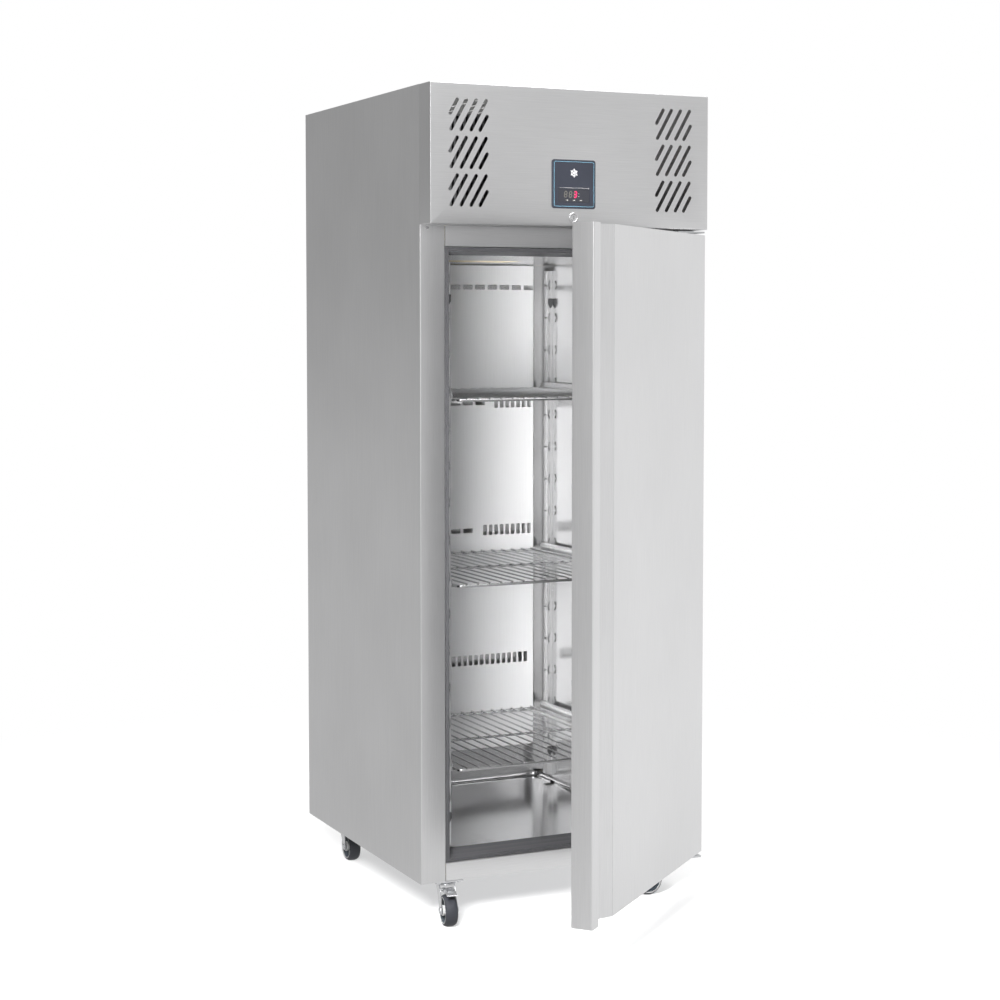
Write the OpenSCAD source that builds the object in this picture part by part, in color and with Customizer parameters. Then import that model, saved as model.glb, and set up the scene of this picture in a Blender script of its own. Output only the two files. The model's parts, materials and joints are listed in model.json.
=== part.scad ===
// Upright reach-in refrigerator: one hinged door, top-mounted refrigeration unit, four swivel castors.
// Millimetres. +X is right, -Y is the front, +Z is up. The origin is on the floor under the cabinet's middle.

/* [Overall] */
// Width over the side panels
overall_w = 730; // [700:10:880]
// Depth from the front of the fascia to the back panel
overall_d = 824; // [800:10:1000]
// Height from the floor to the top of the unit compartment
overall_h = 1960; // [1800:10:2360]
// Height of a castor, from the floor to the cabinet's underside
castor_h = 105; // [100:1:130]

/* [Cabinet walls] */
// Height of the unit compartment behind the fascia
head_h = 320; // [300:5:400]
// How far the fascia and the closed door stand in front of the cabinet's front face
fascia_d = 62; // [60:1:80]
// Thickness of the outer sheet
sheet = 1.2; // [1:0.1:1.5]
// Thickness of the inner lining
lining = 1; // [0.8:0.1:1.2]
// Side wall, from the outer face to the inner face
side_wall = 81; // [75:1:90]
// Back wall, from the outer face to the inner face
back_wall = 70; // [60:1:90]
// From the cabinet's underside to the inner floor
floor_wall = 57; // [50:1:70]
// From the inner ceiling to the unit deck
top_wall = 67; // [60:1:80]
// Width of each front post
post_w = 64; // [62:1:70]
// Height of the front sill
sill_h = 45; // [40:1:50]
// Height of the front header
header_h = 49; // [44:1:60]

/* [Door] */
// Angle at which the door stands open
door_rest = 40.2; // [0:0.1:100]
// Thickness of the door without its gasket
door_t = 50; // [45:1:50]
// Gap beside the door at each edge of the cabinet
door_side_gap = 2; // [1:0.5:3]
// Gap between the fascia and the top of the door
door_top_gap = 12; // [12:1:14]
// Height of the door's bottom edge above the cabinet's underside
door_bottom_gap = 7; // [7:1:12]
// Hinge axis, measured inwards from the door's hinged edge
hinge_in = 27; // [25:1:30]
// Hinge axis, measured back from the door's front face
hinge_back = 26; // [24:1:26]
// Width of the lip that a hand pulls
lip_w = 38.7; // [34:0.1:44]
// Distance from the free edge to where the handle recess ends
recess_w = 117.4; // [110:0.1:130]
// Depth of the handle recess
recess_d = 27; // [20:1:30]
// Radius of the hinge pins
hinge_pin_r = 6; // [5:0.5:7]

/* [Shelves] */
// Width of a wire shelf
shelf_w = 524; // [500:2:530]
// Depth of a wire shelf
shelf_d = 635; // [600:5:640]
// Radius of a shelf's cross bars
bar_r = 3.5; // [3:0.5:4]
// Radius of a shelf's front-to-back wires
wire_r = 2; // [1.5:0.25:2.5]
// Number of front-to-back wires
wire_count = 17; // [13:2:21]
// Vertical distance between two keyholes of the racking
key_pitch = 87.4; // [80:0.2:92]
// Depth of a racking upright, standing off the wall
upright_d = 15; // [12:1:18]
// Width of a racking upright, along the wall
upright_w = 26; // [22:1:32]

/* [Castors] */
// Radius of a castor wheel
wheel_r = 37.5; // [35:0.5:40]
// Width of a castor wheel
wheel_w = 30; // [26:1:32]
// How far a wheel trails behind its swivel axis
trail = 33; // [28:1:36]
// Distance of the swivel axes in from the sides
castor_in = 75; // [70:1:90]

/* [Hidden] */
$fn = 48;

// Clearances
fit = 0.3;            // between pieces that are put together
seam = 0.2;           // between sheets that meet edge to edge
run_fit = 0.06;       // round a turning pin, on the radius
slide_fit = 0.15;     // round a travelling button
touch = 0.03;         // between faces that rest on one another

// Planes of the cabinet
half_w = overall_w/2;
front_y = -overall_d/2;
seat_y = front_y + fascia_d;
back_y = overall_d/2;
base_z = castor_h;
deck_z = overall_h - head_h;
in_half = half_w - side_wall;
in_back = back_y - back_wall;
in_floor = base_z + floor_wall;
in_top = deck_z - top_wall;
open_half = half_w - post_w;
open_bottom = base_z + sill_h;
open_top = deck_z - header_h;
return_d = 12;        // depth of the folded returns round the opening
breaker_d = 36;       // depth of the breaker frame
breaker_face = 10;    // width of its flat front face
liner_front = seat_y + breaker_d + fit;

// Duct panel
duct_y = in_back - 37;
duct_half = in_half - 32;
duct_bottom = in_floor + 98;
duct_top = in_top - 3;
duct_slot = [11.2, 28];              // upright slot: width, height
duct_bar_slot = [28, 12.5];          // level slot: width, height
duct_slot_pitch = 16.55;
duct_bar_pitch = 36;
duct_rows = [61.5, 372, 717, 1070];  // how far each row of slots is below the ceiling
duct_slot_x = duct_half - 15;        // outermost upright slot

// Air openings between the storage space and the evaporator above it
air_x = -60;                         // middle of the openings
air_w = 300;
return_y = in_back - 300;            // front edge of the return opening
return_l = 120;
supply_l = 30;
supply_gap = 3;                      // behind the supply opening

// Pressed floor
tray_rise = 14;
tray_corner = 30;

// Racking
clip_size = [14, 3, 24];
rear_upright_y = duct_y - 22;        // back edge of the rear uprights
front_upright_y = liner_front + clip_size[1] + 2*seam + upright_w;
upright_top = in_top - 17;
upright_bottom = in_floor + 18;
key_top = in_top - 56;
key_count = floor((key_top - upright_bottom - 30)/key_pitch) + 1;
upright_x = in_half - upright_d;     // inner face of an upright
clip_z = [in_top - 103, in_floor + 85];
slide_keys = [3, 8, 13];             // which keyhole each pair of tray slides hangs in
slide_h = 24;
slide_w = 24;
slide_lip = 4;
slide_t = 1;
hook_d = 6;                          // a slide's hook, along the upright's width
hook_t = 2;
hook_in = 3;                         // how far a hook reaches through its keyhole
slide_x = upright_x - 1 - seam;      // outer face of a tray slide
slide_front = liner_front + 8;
slide_back = duct_y - 12;
shelf_gap = 5;                       // between a shelf and the duct panel
shelf_front = duct_y - shelf_gap - shelf_d;
function key_z(i) = key_top - i*key_pitch;
function shelf_z(k) = key_z(slide_keys[k]) - slide_h + bar_r + seam;
inner_bar_r = bar_r - 0.5;
frame_bend = 10;                     // radius of a shelf frame's corners
wire_in = 20;                        // first wire, in from the frame's side
wire_z = bar_r + wire_r + 0.05;      // wires lie on top of the bars

// Unit compartment
unit_half = half_w - sheet - fit;
unit_floor = deck_z + sheet;
unit_top = overall_h - sheet;
coil_w = 270;
coil_h = 250;
coil_t = 60;
coil_x = -half_w + 175;              // middle of the condenser
coil_y = seat_y + 30;                // its front
coil_z = unit_floor + 10;            // its underside
fin_pitch = 12;
fan_y = coil_y + coil_t + 1;
fan_z = coil_z + coil_h/2;
fan_r = 100;
fan_hub_r = 26;
shaft_r = 4;
shroud_d = 40;
strut_y = 78;                        // motor strut, behind the shroud's front
strut = [12, 8, 4];                  // strut post width, strut height, strut thickness
strut_z = 12;
motor_r = 36;
comp_x = air_x + air_w/2 + 137;      // middle of the compressor
comp_y = 190;
comp_r = 78;
comp_foot = [85, 65];                // rubber mounts, each side of the middle
comp_foot_h = 14;
comp_plate_t = 4;
evap_over = 25;                      // how far the evaporator's box stands past the air openings
evap_x0 = air_x - air_w/2 - evap_over;
evap_x1 = air_x + air_w/2 + evap_over;
evap_y0 = return_y - evap_over;
evap_y1 = back_y - 35;
evap_h = 200;
evap_wall = 20;
evap_coil_y = return_y + return_l + 15;
evap_fan_y = evap_coil_y + 75;
evap_fan_z = unit_floor + 95;
evap_fan_r = 62;
evap_strut_y = 20;
pipe_r = 4;
pipe_z = unit_floor + 205;           // discharge line
suction_z = unit_floor + 185;
cover_slot = [8, 110];
cover_slot_pitch = [42, 150];
louvre = [220, 6];
louvre_pitch = 16;
gland_x = half_w - 85;
gland_z = deck_z + 60;
gland_r = 10;
ebox_half = 45;                      // controller box behind the control panel
ebox_wall = 2;
relay_box = [190, 80, 150];
pan_x1 = half_w - 25;                // condensate tray, right edge
pan_y = [-180, 60];
pan_h = 45;
vent_w = 8.4;
vent_h = 74;
vent_pitch = 25;
vent_lean = 29.5;
vent_row_pitch = 85.5;
vent_top = overall_h - 34.5;
vent_x = half_w - 96;                // middle of each vent group
bezel_w = 114;
bezel_h = 113.5;
bezel_t = 3;
bezel_r = 5;
bezel_z = deck_z + 99;
bezel_edge = 11;                     // from the bezel's edge to the part behind it
window_w = 82;
window_h = 32;
window_z = bezel_z - 27;
window_t = 1;
window_y = front_y - bezel_t + 0.4;  // front face of the window, just inside the bezel's
button_x = 18;
button_w = 8;
button_h = 3;
button_travel = 0.6;
button_z = window_z - window_h/2 + 5.5;
lock_z = deck_z + 21;
lock_r = 11;
lock_l = 16;
lock_flange_t = 2.5;
barrel_r = 8;
cam_reach = 36;
cam_w = 12;
cam_t = 2.5;
cam_y = front_y + 19;

// Door, drawn shut
door_x0 = -half_w + door_side_gap;
door_x1 = half_w - door_side_gap;
door_z0 = base_z + door_bottom_gap;
door_z1 = deck_z - door_top_gap;
door_y1 = front_y + door_t;
hinge_x = door_x1 - hinge_in;
hinge_y = front_y + hinge_back;
gasket_w = 22;
gasket_half = open_half + 12;        // inner edge of the gasket
gasket_t = seat_y - door_y1 - fit;
bush_r = 12;
bush_h = 20;
pan_rise = 8;                        // raised centre of the inner pan
pan_corner = 25;
corner_cut = 5;                      // chamfer on the hinged edge, which swings past the post
channel_x = door_x0 + recess_w;      // where the handle channel meets the door skin
recess_floor = door_x0 + recess_w - 1.5*recess_d;

// Castors: name order is front left, front right, rear left, rear right
castor_x = half_w - castor_in;
castor_yf = seat_y + 30;
castor_yr = back_y - 87;
castor_pos = [[-castor_x, castor_yf], [castor_x, castor_yf], [-castor_x, castor_yr], [castor_x, castor_yr]];
castor_turn = [-100, 182, -93, 128];  // direction in which each wheel trails
plate_t = 3;
king_r = 6;
race_h = 4;
crown_z = castor_h - plate_t - race_h - fit;
crown_t = 5;
leg_in = wheel_w/2 + 2;
leg_t = 2.5;
axle_r = 4;
tyre_t = 6.5;

module rounded_rect(w, d, r) {
    square([w - 2*r, d], center = true);
    square([w, d - 2*r], center = true);
    for (sx = [-1, 1], sy = [-1, 1])
        translate([sx*(w/2 - r), sy*(d/2 - r)])
            circle(r);
}

module box(lo, hi) {
    translate(lo)
        cube(hi - lo);
}

// Side panel: the flat side, folded round the front corner to make the post
module side_panel(side) {
    mirror([side > 0 ? 1 : 0, 0, 0]) {
        box([-half_w, seat_y, base_z], [-half_w + sheet, back_y, overall_h]);
        box([-half_w, seat_y, base_z], [-open_half, seat_y + sheet, deck_z]);
        box([-open_half - sheet, seat_y, base_z], [-open_half, seat_y + return_d, deck_z]);
    }
}
module side_panel_left() {
    color("silver")
        side_panel(-1);
}
module side_panel_right() {
    color("silver")
        side_panel(1);
}

module rear_panel() {
    color("gainsboro")
        box([-unit_half, back_y - sheet, base_z], [unit_half, back_y, deck_z]);
}

module underside_panel() {
    color("gainsboro")
        box([-unit_half, seat_y + return_d + seam, base_z],
            [unit_half, back_y - sheet - seam, base_z + sheet]);
}

// Header above the opening and sill below it, each folded back into the opening
module face_frame() {
    half = open_half - seam;
    color("silver") {
        box([-half, seat_y, open_top], [half, seat_y + sheet, deck_z]);
        box([-half, seat_y, open_top], [half, seat_y + return_d, open_top + sheet]);
        box([-half, seat_y, base_z], [half, seat_y + sheet, open_bottom]);
        box([-half, seat_y, open_bottom - sheet], [half, seat_y + return_d, open_bottom]);
    }
}

// Foam between the outer case and the lining, open at the front
module insulation_foam() {
    mouth = open_half + sheet + fit;
    color("khaki")
        difference() {
            box([-half_w + sheet, seat_y + sheet, base_z + sheet],
                [half_w - sheet, back_y - sheet, deck_z]);
            box([-mouth, seat_y, open_bottom - sheet - fit],
                [mouth, liner_front, open_top + sheet + fit]);
            box([-mouth, seat_y, base_z], [mouth, seat_y + return_d + fit, deck_z + 1]);
            box([-in_half - lining, seat_y, in_floor - lining],
                [in_half + lining, in_back + lining, in_top + lining]);
            air_openings(in_top, deck_z + 1);
        }
}

// Return and supply air openings between the storage space and the evaporator
module air_openings(z0, z1) {
    x0 = air_x - air_w/2;
    x1 = air_x + air_w/2;
    box([x0, return_y, z0], [x1, return_y + return_l, z1]);
    box([x0, in_back - supply_l - supply_gap, z0], [x1, in_back - supply_gap, z1]);
}

// Lining: two sides, ceiling and back, as separate sheets
module inner_liner() {
    color("lightgray") {
        for (s = [-1, 1])
            mirror([s > 0 ? 1 : 0, 0, 0])
                box([-in_half - lining, liner_front, in_floor], [-in_half, in_back, in_top]);
        box([-in_half, in_back, in_floor], [in_half, in_back + lining, in_top]);
        difference() {
            box([-in_half - lining, liner_front, in_top + seam],
                [in_half + lining, in_back + lining, in_top + lining]);
            air_openings(in_top - 1, in_top + lining + 1);
        }
    }
}

// Pressed floor with a low upstand against the walls
module base_tray() {
    w = 2*(in_half - seam);
    d = in_back - liner_front - 2*seam;
    color("lightgray")
        translate([0, (in_back + liner_front)/2, in_floor - lining])
            difference() {
                linear_extrude(tray_rise)
                    rounded_rect(w, d, tray_corner);
                translate([0, 0, lining])
                    linear_extrude(tray_rise)
                        rounded_rect(w - 2*lining, d - 2*lining, tray_corner - lining);
            }
}

// One length of breaker strip along Z: flat front face, then a slope in to the lining
module breaker_bar(edge, inner, length) {
    linear_extrude(length)
        polygon([
            [edge, seat_y + fit], [edge - breaker_face, seat_y + fit], [inner, seat_y + breaker_d],
            [inner + lining, seat_y + breaker_d], [edge, seat_y + return_d + fit]
        ]);
}
module breaker_frame() {
    edge = open_half - fit;
    lo = open_bottom + fit;
    hi = open_top - fit;
    color("dimgray") {
        for (s = [-1, 1])
            mirror([s < 0 ? 1 : 0, 0, 0])
                translate([0, 0, lo])
                    breaker_bar(edge, in_half, hi - lo);
        difference() {
            union() {
                translate([edge, 0, 0])
                    rotate([0, -90, 0])
                        breaker_bar(hi, in_top, 2*edge);
                translate([edge, 0, 0])
                    mirror([0, 0, 1])
                        rotate([0, -90, 0])
                            breaker_bar(-lo, -in_floor - tray_rise, 2*edge);
            }
            for (s = [-1, 1])
                mirror([s < 0 ? 1 : 0, 0, 0])
                    translate([-seam, 0, lo - 1])
                        linear_extrude(hi - lo + 2)
                            polygon([
                                [edge + 1, seat_y - 1], [edge - breaker_face, seat_y - 1],
                                [edge - breaker_face, seat_y + fit], [in_half, seat_y + breaker_d],
                                [in_half, seat_y + breaker_d + 1], [edge + 1, seat_y + breaker_d + 1]
                            ]);
        }
    }
}

// Air duct panel on the back wall, with four rows of slots
module slot_row(z, size, x0, pitch, count) {
    for (i = [0:count - 1])
        translate([x0 + i*pitch, duct_y, z])
            cube([size[0], 4*lining, size[1]], center = true);
}
module bar_row(z, count) {
    slot_row(z, duct_bar_slot, -(count - 1)/2*duct_bar_pitch, duct_bar_pitch, count);
}
module duct_panel() {
    group = floor(duct_slot_x/duct_slot_pitch*0.62);
    full = floor(2*duct_slot_x/duct_slot_pitch) + 1;
    color("whitesmoke")
        difference() {
            union() {
                box([-duct_half, duct_y, duct_bottom], [duct_half, duct_y + lining, duct_top]);
                for (s = [-1, 1])
                    mirror([s < 0 ? 1 : 0, 0, 0])
                        box([duct_half - lining, duct_y, duct_bottom],
                            [duct_half, in_back - seam, duct_top]);
            }
            bar_row(in_top - duct_rows[0], 14);
            bar_row(in_top - duct_rows[1], 6);
            bar_row(in_top - duct_rows[2], 4);
            for (s = [-1, 1]) {
                slot_row(in_top - duct_rows[1], duct_slot, s*duct_slot_x, -s*duct_slot_pitch, group - 1);
                slot_row(in_top - duct_rows[2], duct_slot, s*duct_slot_x, -s*duct_slot_pitch, group + 1);
            }
            slot_row(in_top - duct_rows[3], duct_slot, -duct_slot_x, duct_slot_pitch, full);
        }
}

// Racking upright: a channel against the side wall, notched at every keyhole
module racking_upright(side, y1) {
    y0 = y1 - upright_w;
    mirror([side > 0 ? 1 : 0, 0, 0])
        difference() {
            box([-in_half, y0, upright_bottom], [-upright_x, y1, upright_top]);
            box([-in_half - 1, y0 + sheet, upright_bottom - 1],
                [-upright_x - sheet, y1 - sheet, upright_top + 1]);
            for (i = [0:key_count - 1]) {
                box([-upright_x - 2*sheet, y0 - 1, key_z(i) - 2],
                    [-upright_x + 1, y0 + hook_d + 4, key_z(i) + 2]);
                box([-upright_x - 7, y0 - 1, key_z(i) - 8],
                    [-upright_x - 2, y0 + 2*sheet, key_z(i) + 8]);
            }
        }
}
module racking_uprights() {
    color("silver")
        for (s = [-1, 1], y = [front_upright_y, rear_upright_y])
            racking_upright(s, y);
}

// Moulded clips that hold the uprights to the wall
module upright_clips() {
    color("black")
        for (s = [-1, 1], y = [front_upright_y, rear_upright_y], z = clip_z)
            mirror([s > 0 ? 1 : 0, 0, 0])
                box([-in_half + fit, y - upright_w - clip_size[1] - seam, z - clip_size[2]/2],
                    [-in_half + clip_size[0], y - upright_w - seam, z + clip_size[2]/2]);
}

// Tray slide: an angle with a turned-down inner edge, hooked into two uprights
module tray_slide(side, z) {
    low = z - slide_h;
    mirror([side > 0 ? 1 : 0, 0, 0]) {
        box([-slide_x, slide_front, low - slide_t], [-slide_x + slide_t, slide_back, z]);
        box([-slide_x, slide_front, low - slide_t], [-slide_x + slide_w, slide_back, low]);
        box([-slide_x + slide_w - slide_t, slide_front, low - slide_lip],
            [-slide_x + slide_w, slide_back, low]);
        for (y = [front_upright_y - upright_w + 2, rear_upright_y - upright_w + 2])
            box([-slide_x - hook_in, y, z - hook_t/2], [-slide_x, y + hook_d, z + hook_t/2]);
    }
}
module tray_slides() {
    color("lightgray")
        for (s = [-1, 1], k = slide_keys)
            tray_slide(s, key_z(k));
}

// Wire shelf: a rod frame, cross bars and front-to-back wires welded on top
module rod_x(y, z, length, r) {
    translate([-length/2, y, z])
        rotate([0, 90, 0])
            cylinder(r = r, h = length);
}
module rod_y(x, z, y0, y1, r) {
    translate([x, y0, z])
        rotate([-90, 0, 0])
            cylinder(r = r, h = y1 - y0);
}
module wire_shelf(k) {
    bend = frame_bend;
    half = shelf_w/2 - bar_r;
    y0 = shelf_front + bar_r;
    y1 = shelf_front + shelf_d - bar_r;
    z = shelf_z(k);
    wire_pitch = 2*(half - wire_in)/(wire_count - 1);
    color("white") {
        for (y = [y0, y1])
            rod_x(y, z, 2*(half - bend), bar_r);
        for (s = [-1, 1])
            rod_y(s*half, z, y0 + bend, y1 - bend, bar_r);
        for (a = [[1, 1, 0], [-1, 1, 90], [-1, -1, 180], [1, -1, 270]])
            translate([a[0]*(half - bend), a[1] > 0 ? y1 - bend : y0 + bend, z])
                rotate([0, 0, a[2]])
                    rotate_extrude(angle = 90)
                        translate([bend, 0])
                            circle(bar_r);
        for (y = [y1 - 16, (y0 + y1)/2 + 8])
            rod_x(y, z + bar_r - inner_bar_r, 2*half, inner_bar_r);
        for (i = [0:wire_count - 1])
            rod_y(-half + wire_in + i*wire_pitch, z + wire_z, y0 - 1, y1 + 1, wire_r);
    }
}
module wire_shelf_top() {
    wire_shelf(0);
}
module wire_shelf_middle() {
    wire_shelf(1);
}
module wire_shelf_bottom() {
    wire_shelf(2);
}

// Deck that carries the refrigeration unit
module unit_deck() {
    color("gainsboro")
        difference() {
            box([-unit_half, seat_y + fit, deck_z],
                [unit_half, back_y - sheet - fit, unit_floor]);
            air_openings(deck_z - 1, unit_floor + 1);
        }
}

// Fascia: a folded tray in front of the unit, with two groups of slanted slots
module vent_slot(x, z, length, at) {
    translate([x + tan(vent_lean)*at, front_y - 1, z + at])
        rotate([0, vent_lean, 0]) {
            translate([-vent_w/2, 0, -length/2 + vent_w/2])
                cube([vent_w, sheet + 2, length - vent_w]);
            for (s = [-1, 1])
                translate([0, 0, s*(length/2 - vent_w/2)])
                    rotate([-90, 0, 0])
                        cylinder(r = vent_w/2, h = sheet + 2);
        }
}
module vent_group(x) {
    full = vent_h/cos(vent_lean);
    for (row = [0:2])
        translate([0, 0, vent_top - vent_h/2 - row*vent_row_pitch]) {
            vent_slot(x - 1.5*vent_pitch - 10, 0, full*0.52, vent_h*0.24);
            for (i = [0:2])
                vent_slot(x + (i - 1)*vent_pitch, 0, full, 0);
            vent_slot(x + 1.5*vent_pitch + 10, 0, full*0.52, -vent_h*0.24);
        }
}
module fascia_panel() {
    edge = seat_y - fit;
    color("silver")
        difference() {
            box([-half_w, front_y, deck_z], [half_w, edge, overall_h]);
            box([-half_w + sheet, front_y + sheet, deck_z + sheet],
                [half_w - sheet, edge + 1, overall_h - sheet]);
            for (s = [-1, 1])
                vent_group(s*vent_x);
            translate([0, front_y, lock_z])
                rotate([90, 0, 0])
                    cylinder(r = lock_r + seam, h = 4*sheet, center = true);
            translate([0, front_y, bezel_z])
                cube([bezel_w - 2*bezel_edge + 2, 4*sheet, bezel_h - 2*bezel_edge + 2], center = true);
            box([-cam_reach - 2, cam_y - 4, deck_z - 1], [cam_w/2 + 3, cam_y + 6, deck_z + sheet + 1]);
        }
}

// Lid over the unit compartment, with a field of air slots over the condenser
module top_cover() {
    color("gainsboro")
        difference() {
            box([-unit_half, seat_y + fit, unit_top],
                [unit_half, back_y - sheet - seam, overall_h]);
            for (i = [-5.5:5.5], j = [-1:1])
                translate([i*cover_slot_pitch[0], j*cover_slot_pitch[1], unit_top])
                    cube([cover_slot[0], cover_slot[1], 4*sheet], center = true);
        }
}

module rear_grille() {
    color("gainsboro")
        difference() {
            box([-unit_half, back_y - sheet, deck_z + seam], [unit_half, back_y, overall_h]);
            for (i = [0:9], j = [-1, 1])
                translate([j*(louvre[0]/2 + 40), back_y, unit_top - 57 - i*louvre_pitch])
                    cube([louvre[0], 4*sheet, louvre[1]], center = true);
            translate([gland_x, back_y, gland_z])
                rotate([90, 0, 0])
                    cylinder(r = gland_r, h = 4*sheet, center = true);
        }
}

// Hermetic compressor on its base plate and four rubber mounts
module compressor() {
    plate_z = comp_foot_h + comp_plate_t;
    color("black")
        translate([comp_x, comp_y, unit_floor]) {
            for (sx = [-1, 1], sy = [-1, 1])
                translate([sx*comp_foot[0], sy*comp_foot[1], 0])
                    cylinder(r = 11, h = comp_foot_h);
            box([-comp_foot[0] - 20, -comp_foot[1] - 20, comp_foot_h],
                [comp_foot[0] + 20, comp_foot[1] + 20, plate_z]);
            translate([0, 0, plate_z])
                cylinder(r1 = comp_r - 16, r2 = comp_r, h = 22);
            translate([0, 0, plate_z + 22])
                cylinder(r = comp_r, h = 90);
            translate([0, 0, plate_z + 112])
                cylinder(r1 = comp_r, r2 = comp_r - 38, h = 34);
            box([comp_r - 8, -25, 50], [comp_r + 26, 25, 110]);
        }
}

// Condenser: a finned block behind the left-hand slots
module condenser_coil() {
    color("gray")
        translate([coil_x, coil_y, coil_z]) {
            difference() {
                box([-coil_w/2, 0, 0], [coil_w/2, coil_t, coil_h]);
                for (i = [-10.5:10.5])
                    translate([i*fin_pitch, coil_t/2, coil_h/2])
                        cube([fin_pitch/2, coil_t + 2, coil_h - fin_pitch], center = true);
            }
            for (s = [-1, 1])
                box([s*coil_w/2 - (s < 0 ? 0 : 8), 5, -10], [s*coil_w/2 + (s < 0 ? 8 : 0), coil_t - 5, 0]);
        }
}

// Shroud with its fan motor on two struts
module condenser_fan_shroud() {
    post_x = (coil_w - strut[0])/2;
    color("dimgray")
        translate([coil_x, fan_y, fan_z]) {
            difference() {
                translate([-coil_w/2, 0, -coil_h/2])
                    cube([coil_w, shroud_d, coil_h]);
                rotate([-90, 0, 0])
                    translate([0, 0, -1])
                        cylinder(r = fan_r + 6, h = shroud_d + 2);
            }
            for (s = [-1, 1]) {
                box([-coil_w/2, strut_y, s*strut_z - strut[1]/2],
                    [coil_w/2, strut_y + strut[2], s*strut_z + strut[1]/2]);
                for (t = [-1, 1])
                    box([s*post_x - strut[0]/2, shroud_d, t*strut_z - strut[1]/2],
                        [s*post_x + strut[0]/2, strut_y, t*strut_z + strut[1]/2]);
            }
            translate([0, shroud_d + 10, 0])
                rotate([-90, 0, 0])
                    cylinder(r = motor_r, h = 60);
            translate([0, 16, 0])
                rotate([-90, 0, 0])
                    cylinder(r = shaft_r, h = shroud_d - 6);
        }
}

module fan_blades(r, hub_r, depth, count) {
    difference() {
        union() {
            cylinder(r = hub_r, h = depth);
            for (i = [0:count - 1])
                rotate([0, 0, i*360/count])
                    translate([hub_r - 3, 0, depth/2])
                        rotate([24, 0, 0])
                            translate([0, -hub_r*0.7, -1])
                                cube([r - hub_r + 3, hub_r*1.4, 2]);
        }
        translate([0, 0, -1])
            cylinder(r = shaft_r + run_fit, h = depth + 2);
    }
}
module condenser_fan_blade() {
    color("darkgray")
        translate([coil_x, fan_y + 20, fan_z])
            rotate([-90, 0, 0])
                fan_blades(fan_r, fan_hub_r, 22, 5);
}

// Insulated box over the air openings, holding the evaporator and its fan
module evaporator_fan_mount() {
    w = evap_x1 - evap_x0 - 2*evap_wall - 2;
    reach = evap_fan_r + 10;
    difference() {
        box([air_x - w/2, evap_fan_y, unit_floor + fit],
            [air_x + w/2, evap_fan_y + 2, unit_floor + evap_h - evap_wall - 1]);
        translate([air_x, evap_fan_y - 1, evap_fan_z])
            rotate([-90, 0, 0])
                cylinder(r = evap_fan_r + 4, h = 4);
    }
    translate([air_x, evap_fan_y, evap_fan_z]) {
        for (a = [0, 90])
            rotate([0, a, 0])
                box([-reach, evap_strut_y, -3], [reach, evap_strut_y + 3, 3]);
        for (a = [0:90:270])
            rotate([0, a, 0])
                box([reach - 5, 2, -3], [reach, evap_strut_y, 3]);
        rotate([-90, 0, 0])
            cylinder(r = shaft_r, h = evap_strut_y);
    }
}
module evaporator_case() {
    color("khaki") {
        difference() {
            box([evap_x0, evap_y0, unit_floor], [evap_x1, evap_y1, unit_floor + evap_h]);
            box([evap_x0 + evap_wall, evap_y0 + evap_wall, unit_floor - 1],
                [evap_x1 - evap_wall, evap_y1 - evap_wall, unit_floor + evap_h - evap_wall]);
        }
        evaporator_fan_mount();
    }
}
module evaporator_coil() {
    w = evap_x1 - evap_x0 - 2*evap_wall - 20;
    h = evap_h - 2*evap_wall;
    fins = 20;
    pitch = (w - 10)/fins;
    color("silver")
        translate([air_x, evap_coil_y, unit_floor])
            difference() {
                box([-w/2, 0, 0], [w/2, coil_t, h]);
                for (i = [0:fins - 1])
                    translate([(i - (fins - 1)/2)*pitch, coil_t/2, h/2])
                        cube([pitch/2, coil_t + 2, h - 12], center = true);
            }
}
module evaporator_fan_blade() {
    color("darkgray")
        translate([air_x, evap_fan_y + 2, evap_fan_z])
            rotate([-90, 0, 0])
                fan_blades(evap_fan_r, 20, 14, 5);
}

// Refrigerant pipes: discharge line up to the condenser and suction line from the evaporator
function pipe_turn(d) =
    abs(d[0]) > 0 ? [0, 90*sign(d[0]), 0] :
    abs(d[1]) > 0 ? [-90*sign(d[1]), 0, 0] :
    [d[2] > 0 ? 0 : 180, 0, 0];
module pipe_run(points) {
    for (i = [0:len(points) - 2]) {
        d = points[i + 1] - points[i];
        translate(points[i])
            rotate(pipe_turn(d))
                cylinder(r = pipe_r, h = norm(d));
    }
    for (i = [1:len(points) - 2])
        translate(points[i])
            sphere(r = pipe_r);
}
module pipework() {
    comp_top = unit_floor + comp_foot_h + comp_plate_t + 146.5;
    out_x = comp_x - 20;
    in_x = comp_x + 20;
    coil_end = coil_x + coil_w/2 + fit;
    evap_out_z = unit_floor + 80;
    color("peru") {
        pipe_run([
            [out_x, comp_y - 30, comp_top], [out_x, comp_y - 30, pipe_z],
            [out_x, coil_y + 30, pipe_z], [coil_end, coil_y + 30, pipe_z]
        ]);
        pipe_run([
            [evap_x1 + fit, evap_y1 - 50, evap_out_z], [evap_x1 + 12, evap_y1 - 50, evap_out_z],
            [evap_x1 + 12, evap_y1 - 50, suction_z], [in_x, evap_y1 - 50, suction_z],
            [in_x, comp_y + 20, suction_z], [in_x, comp_y + 20, comp_top]
        ]);
        translate([out_x, -60, pipe_z])
            rotate([90, 0, 0])
                cylinder(r = 3*pipe_r, h = 120);
    }
}

// Box for the controller, relays and terminals, behind the control panel
module electrical_box() {
    color("dimgray") {
        difference() {
            box([-ebox_half, front_y + 12, bezel_z - ebox_half],
                [ebox_half, seat_y + 20, bezel_z + ebox_half]);
            box([-ebox_half + ebox_wall, front_y + 12 + ebox_wall, bezel_z - ebox_half + ebox_wall],
                [ebox_half - ebox_wall, seat_y + 20 - ebox_wall, bezel_z + ebox_half - ebox_wall]);
        }
        translate([60, coil_y, unit_floor])
            cube(relay_box);
    }
}

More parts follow.
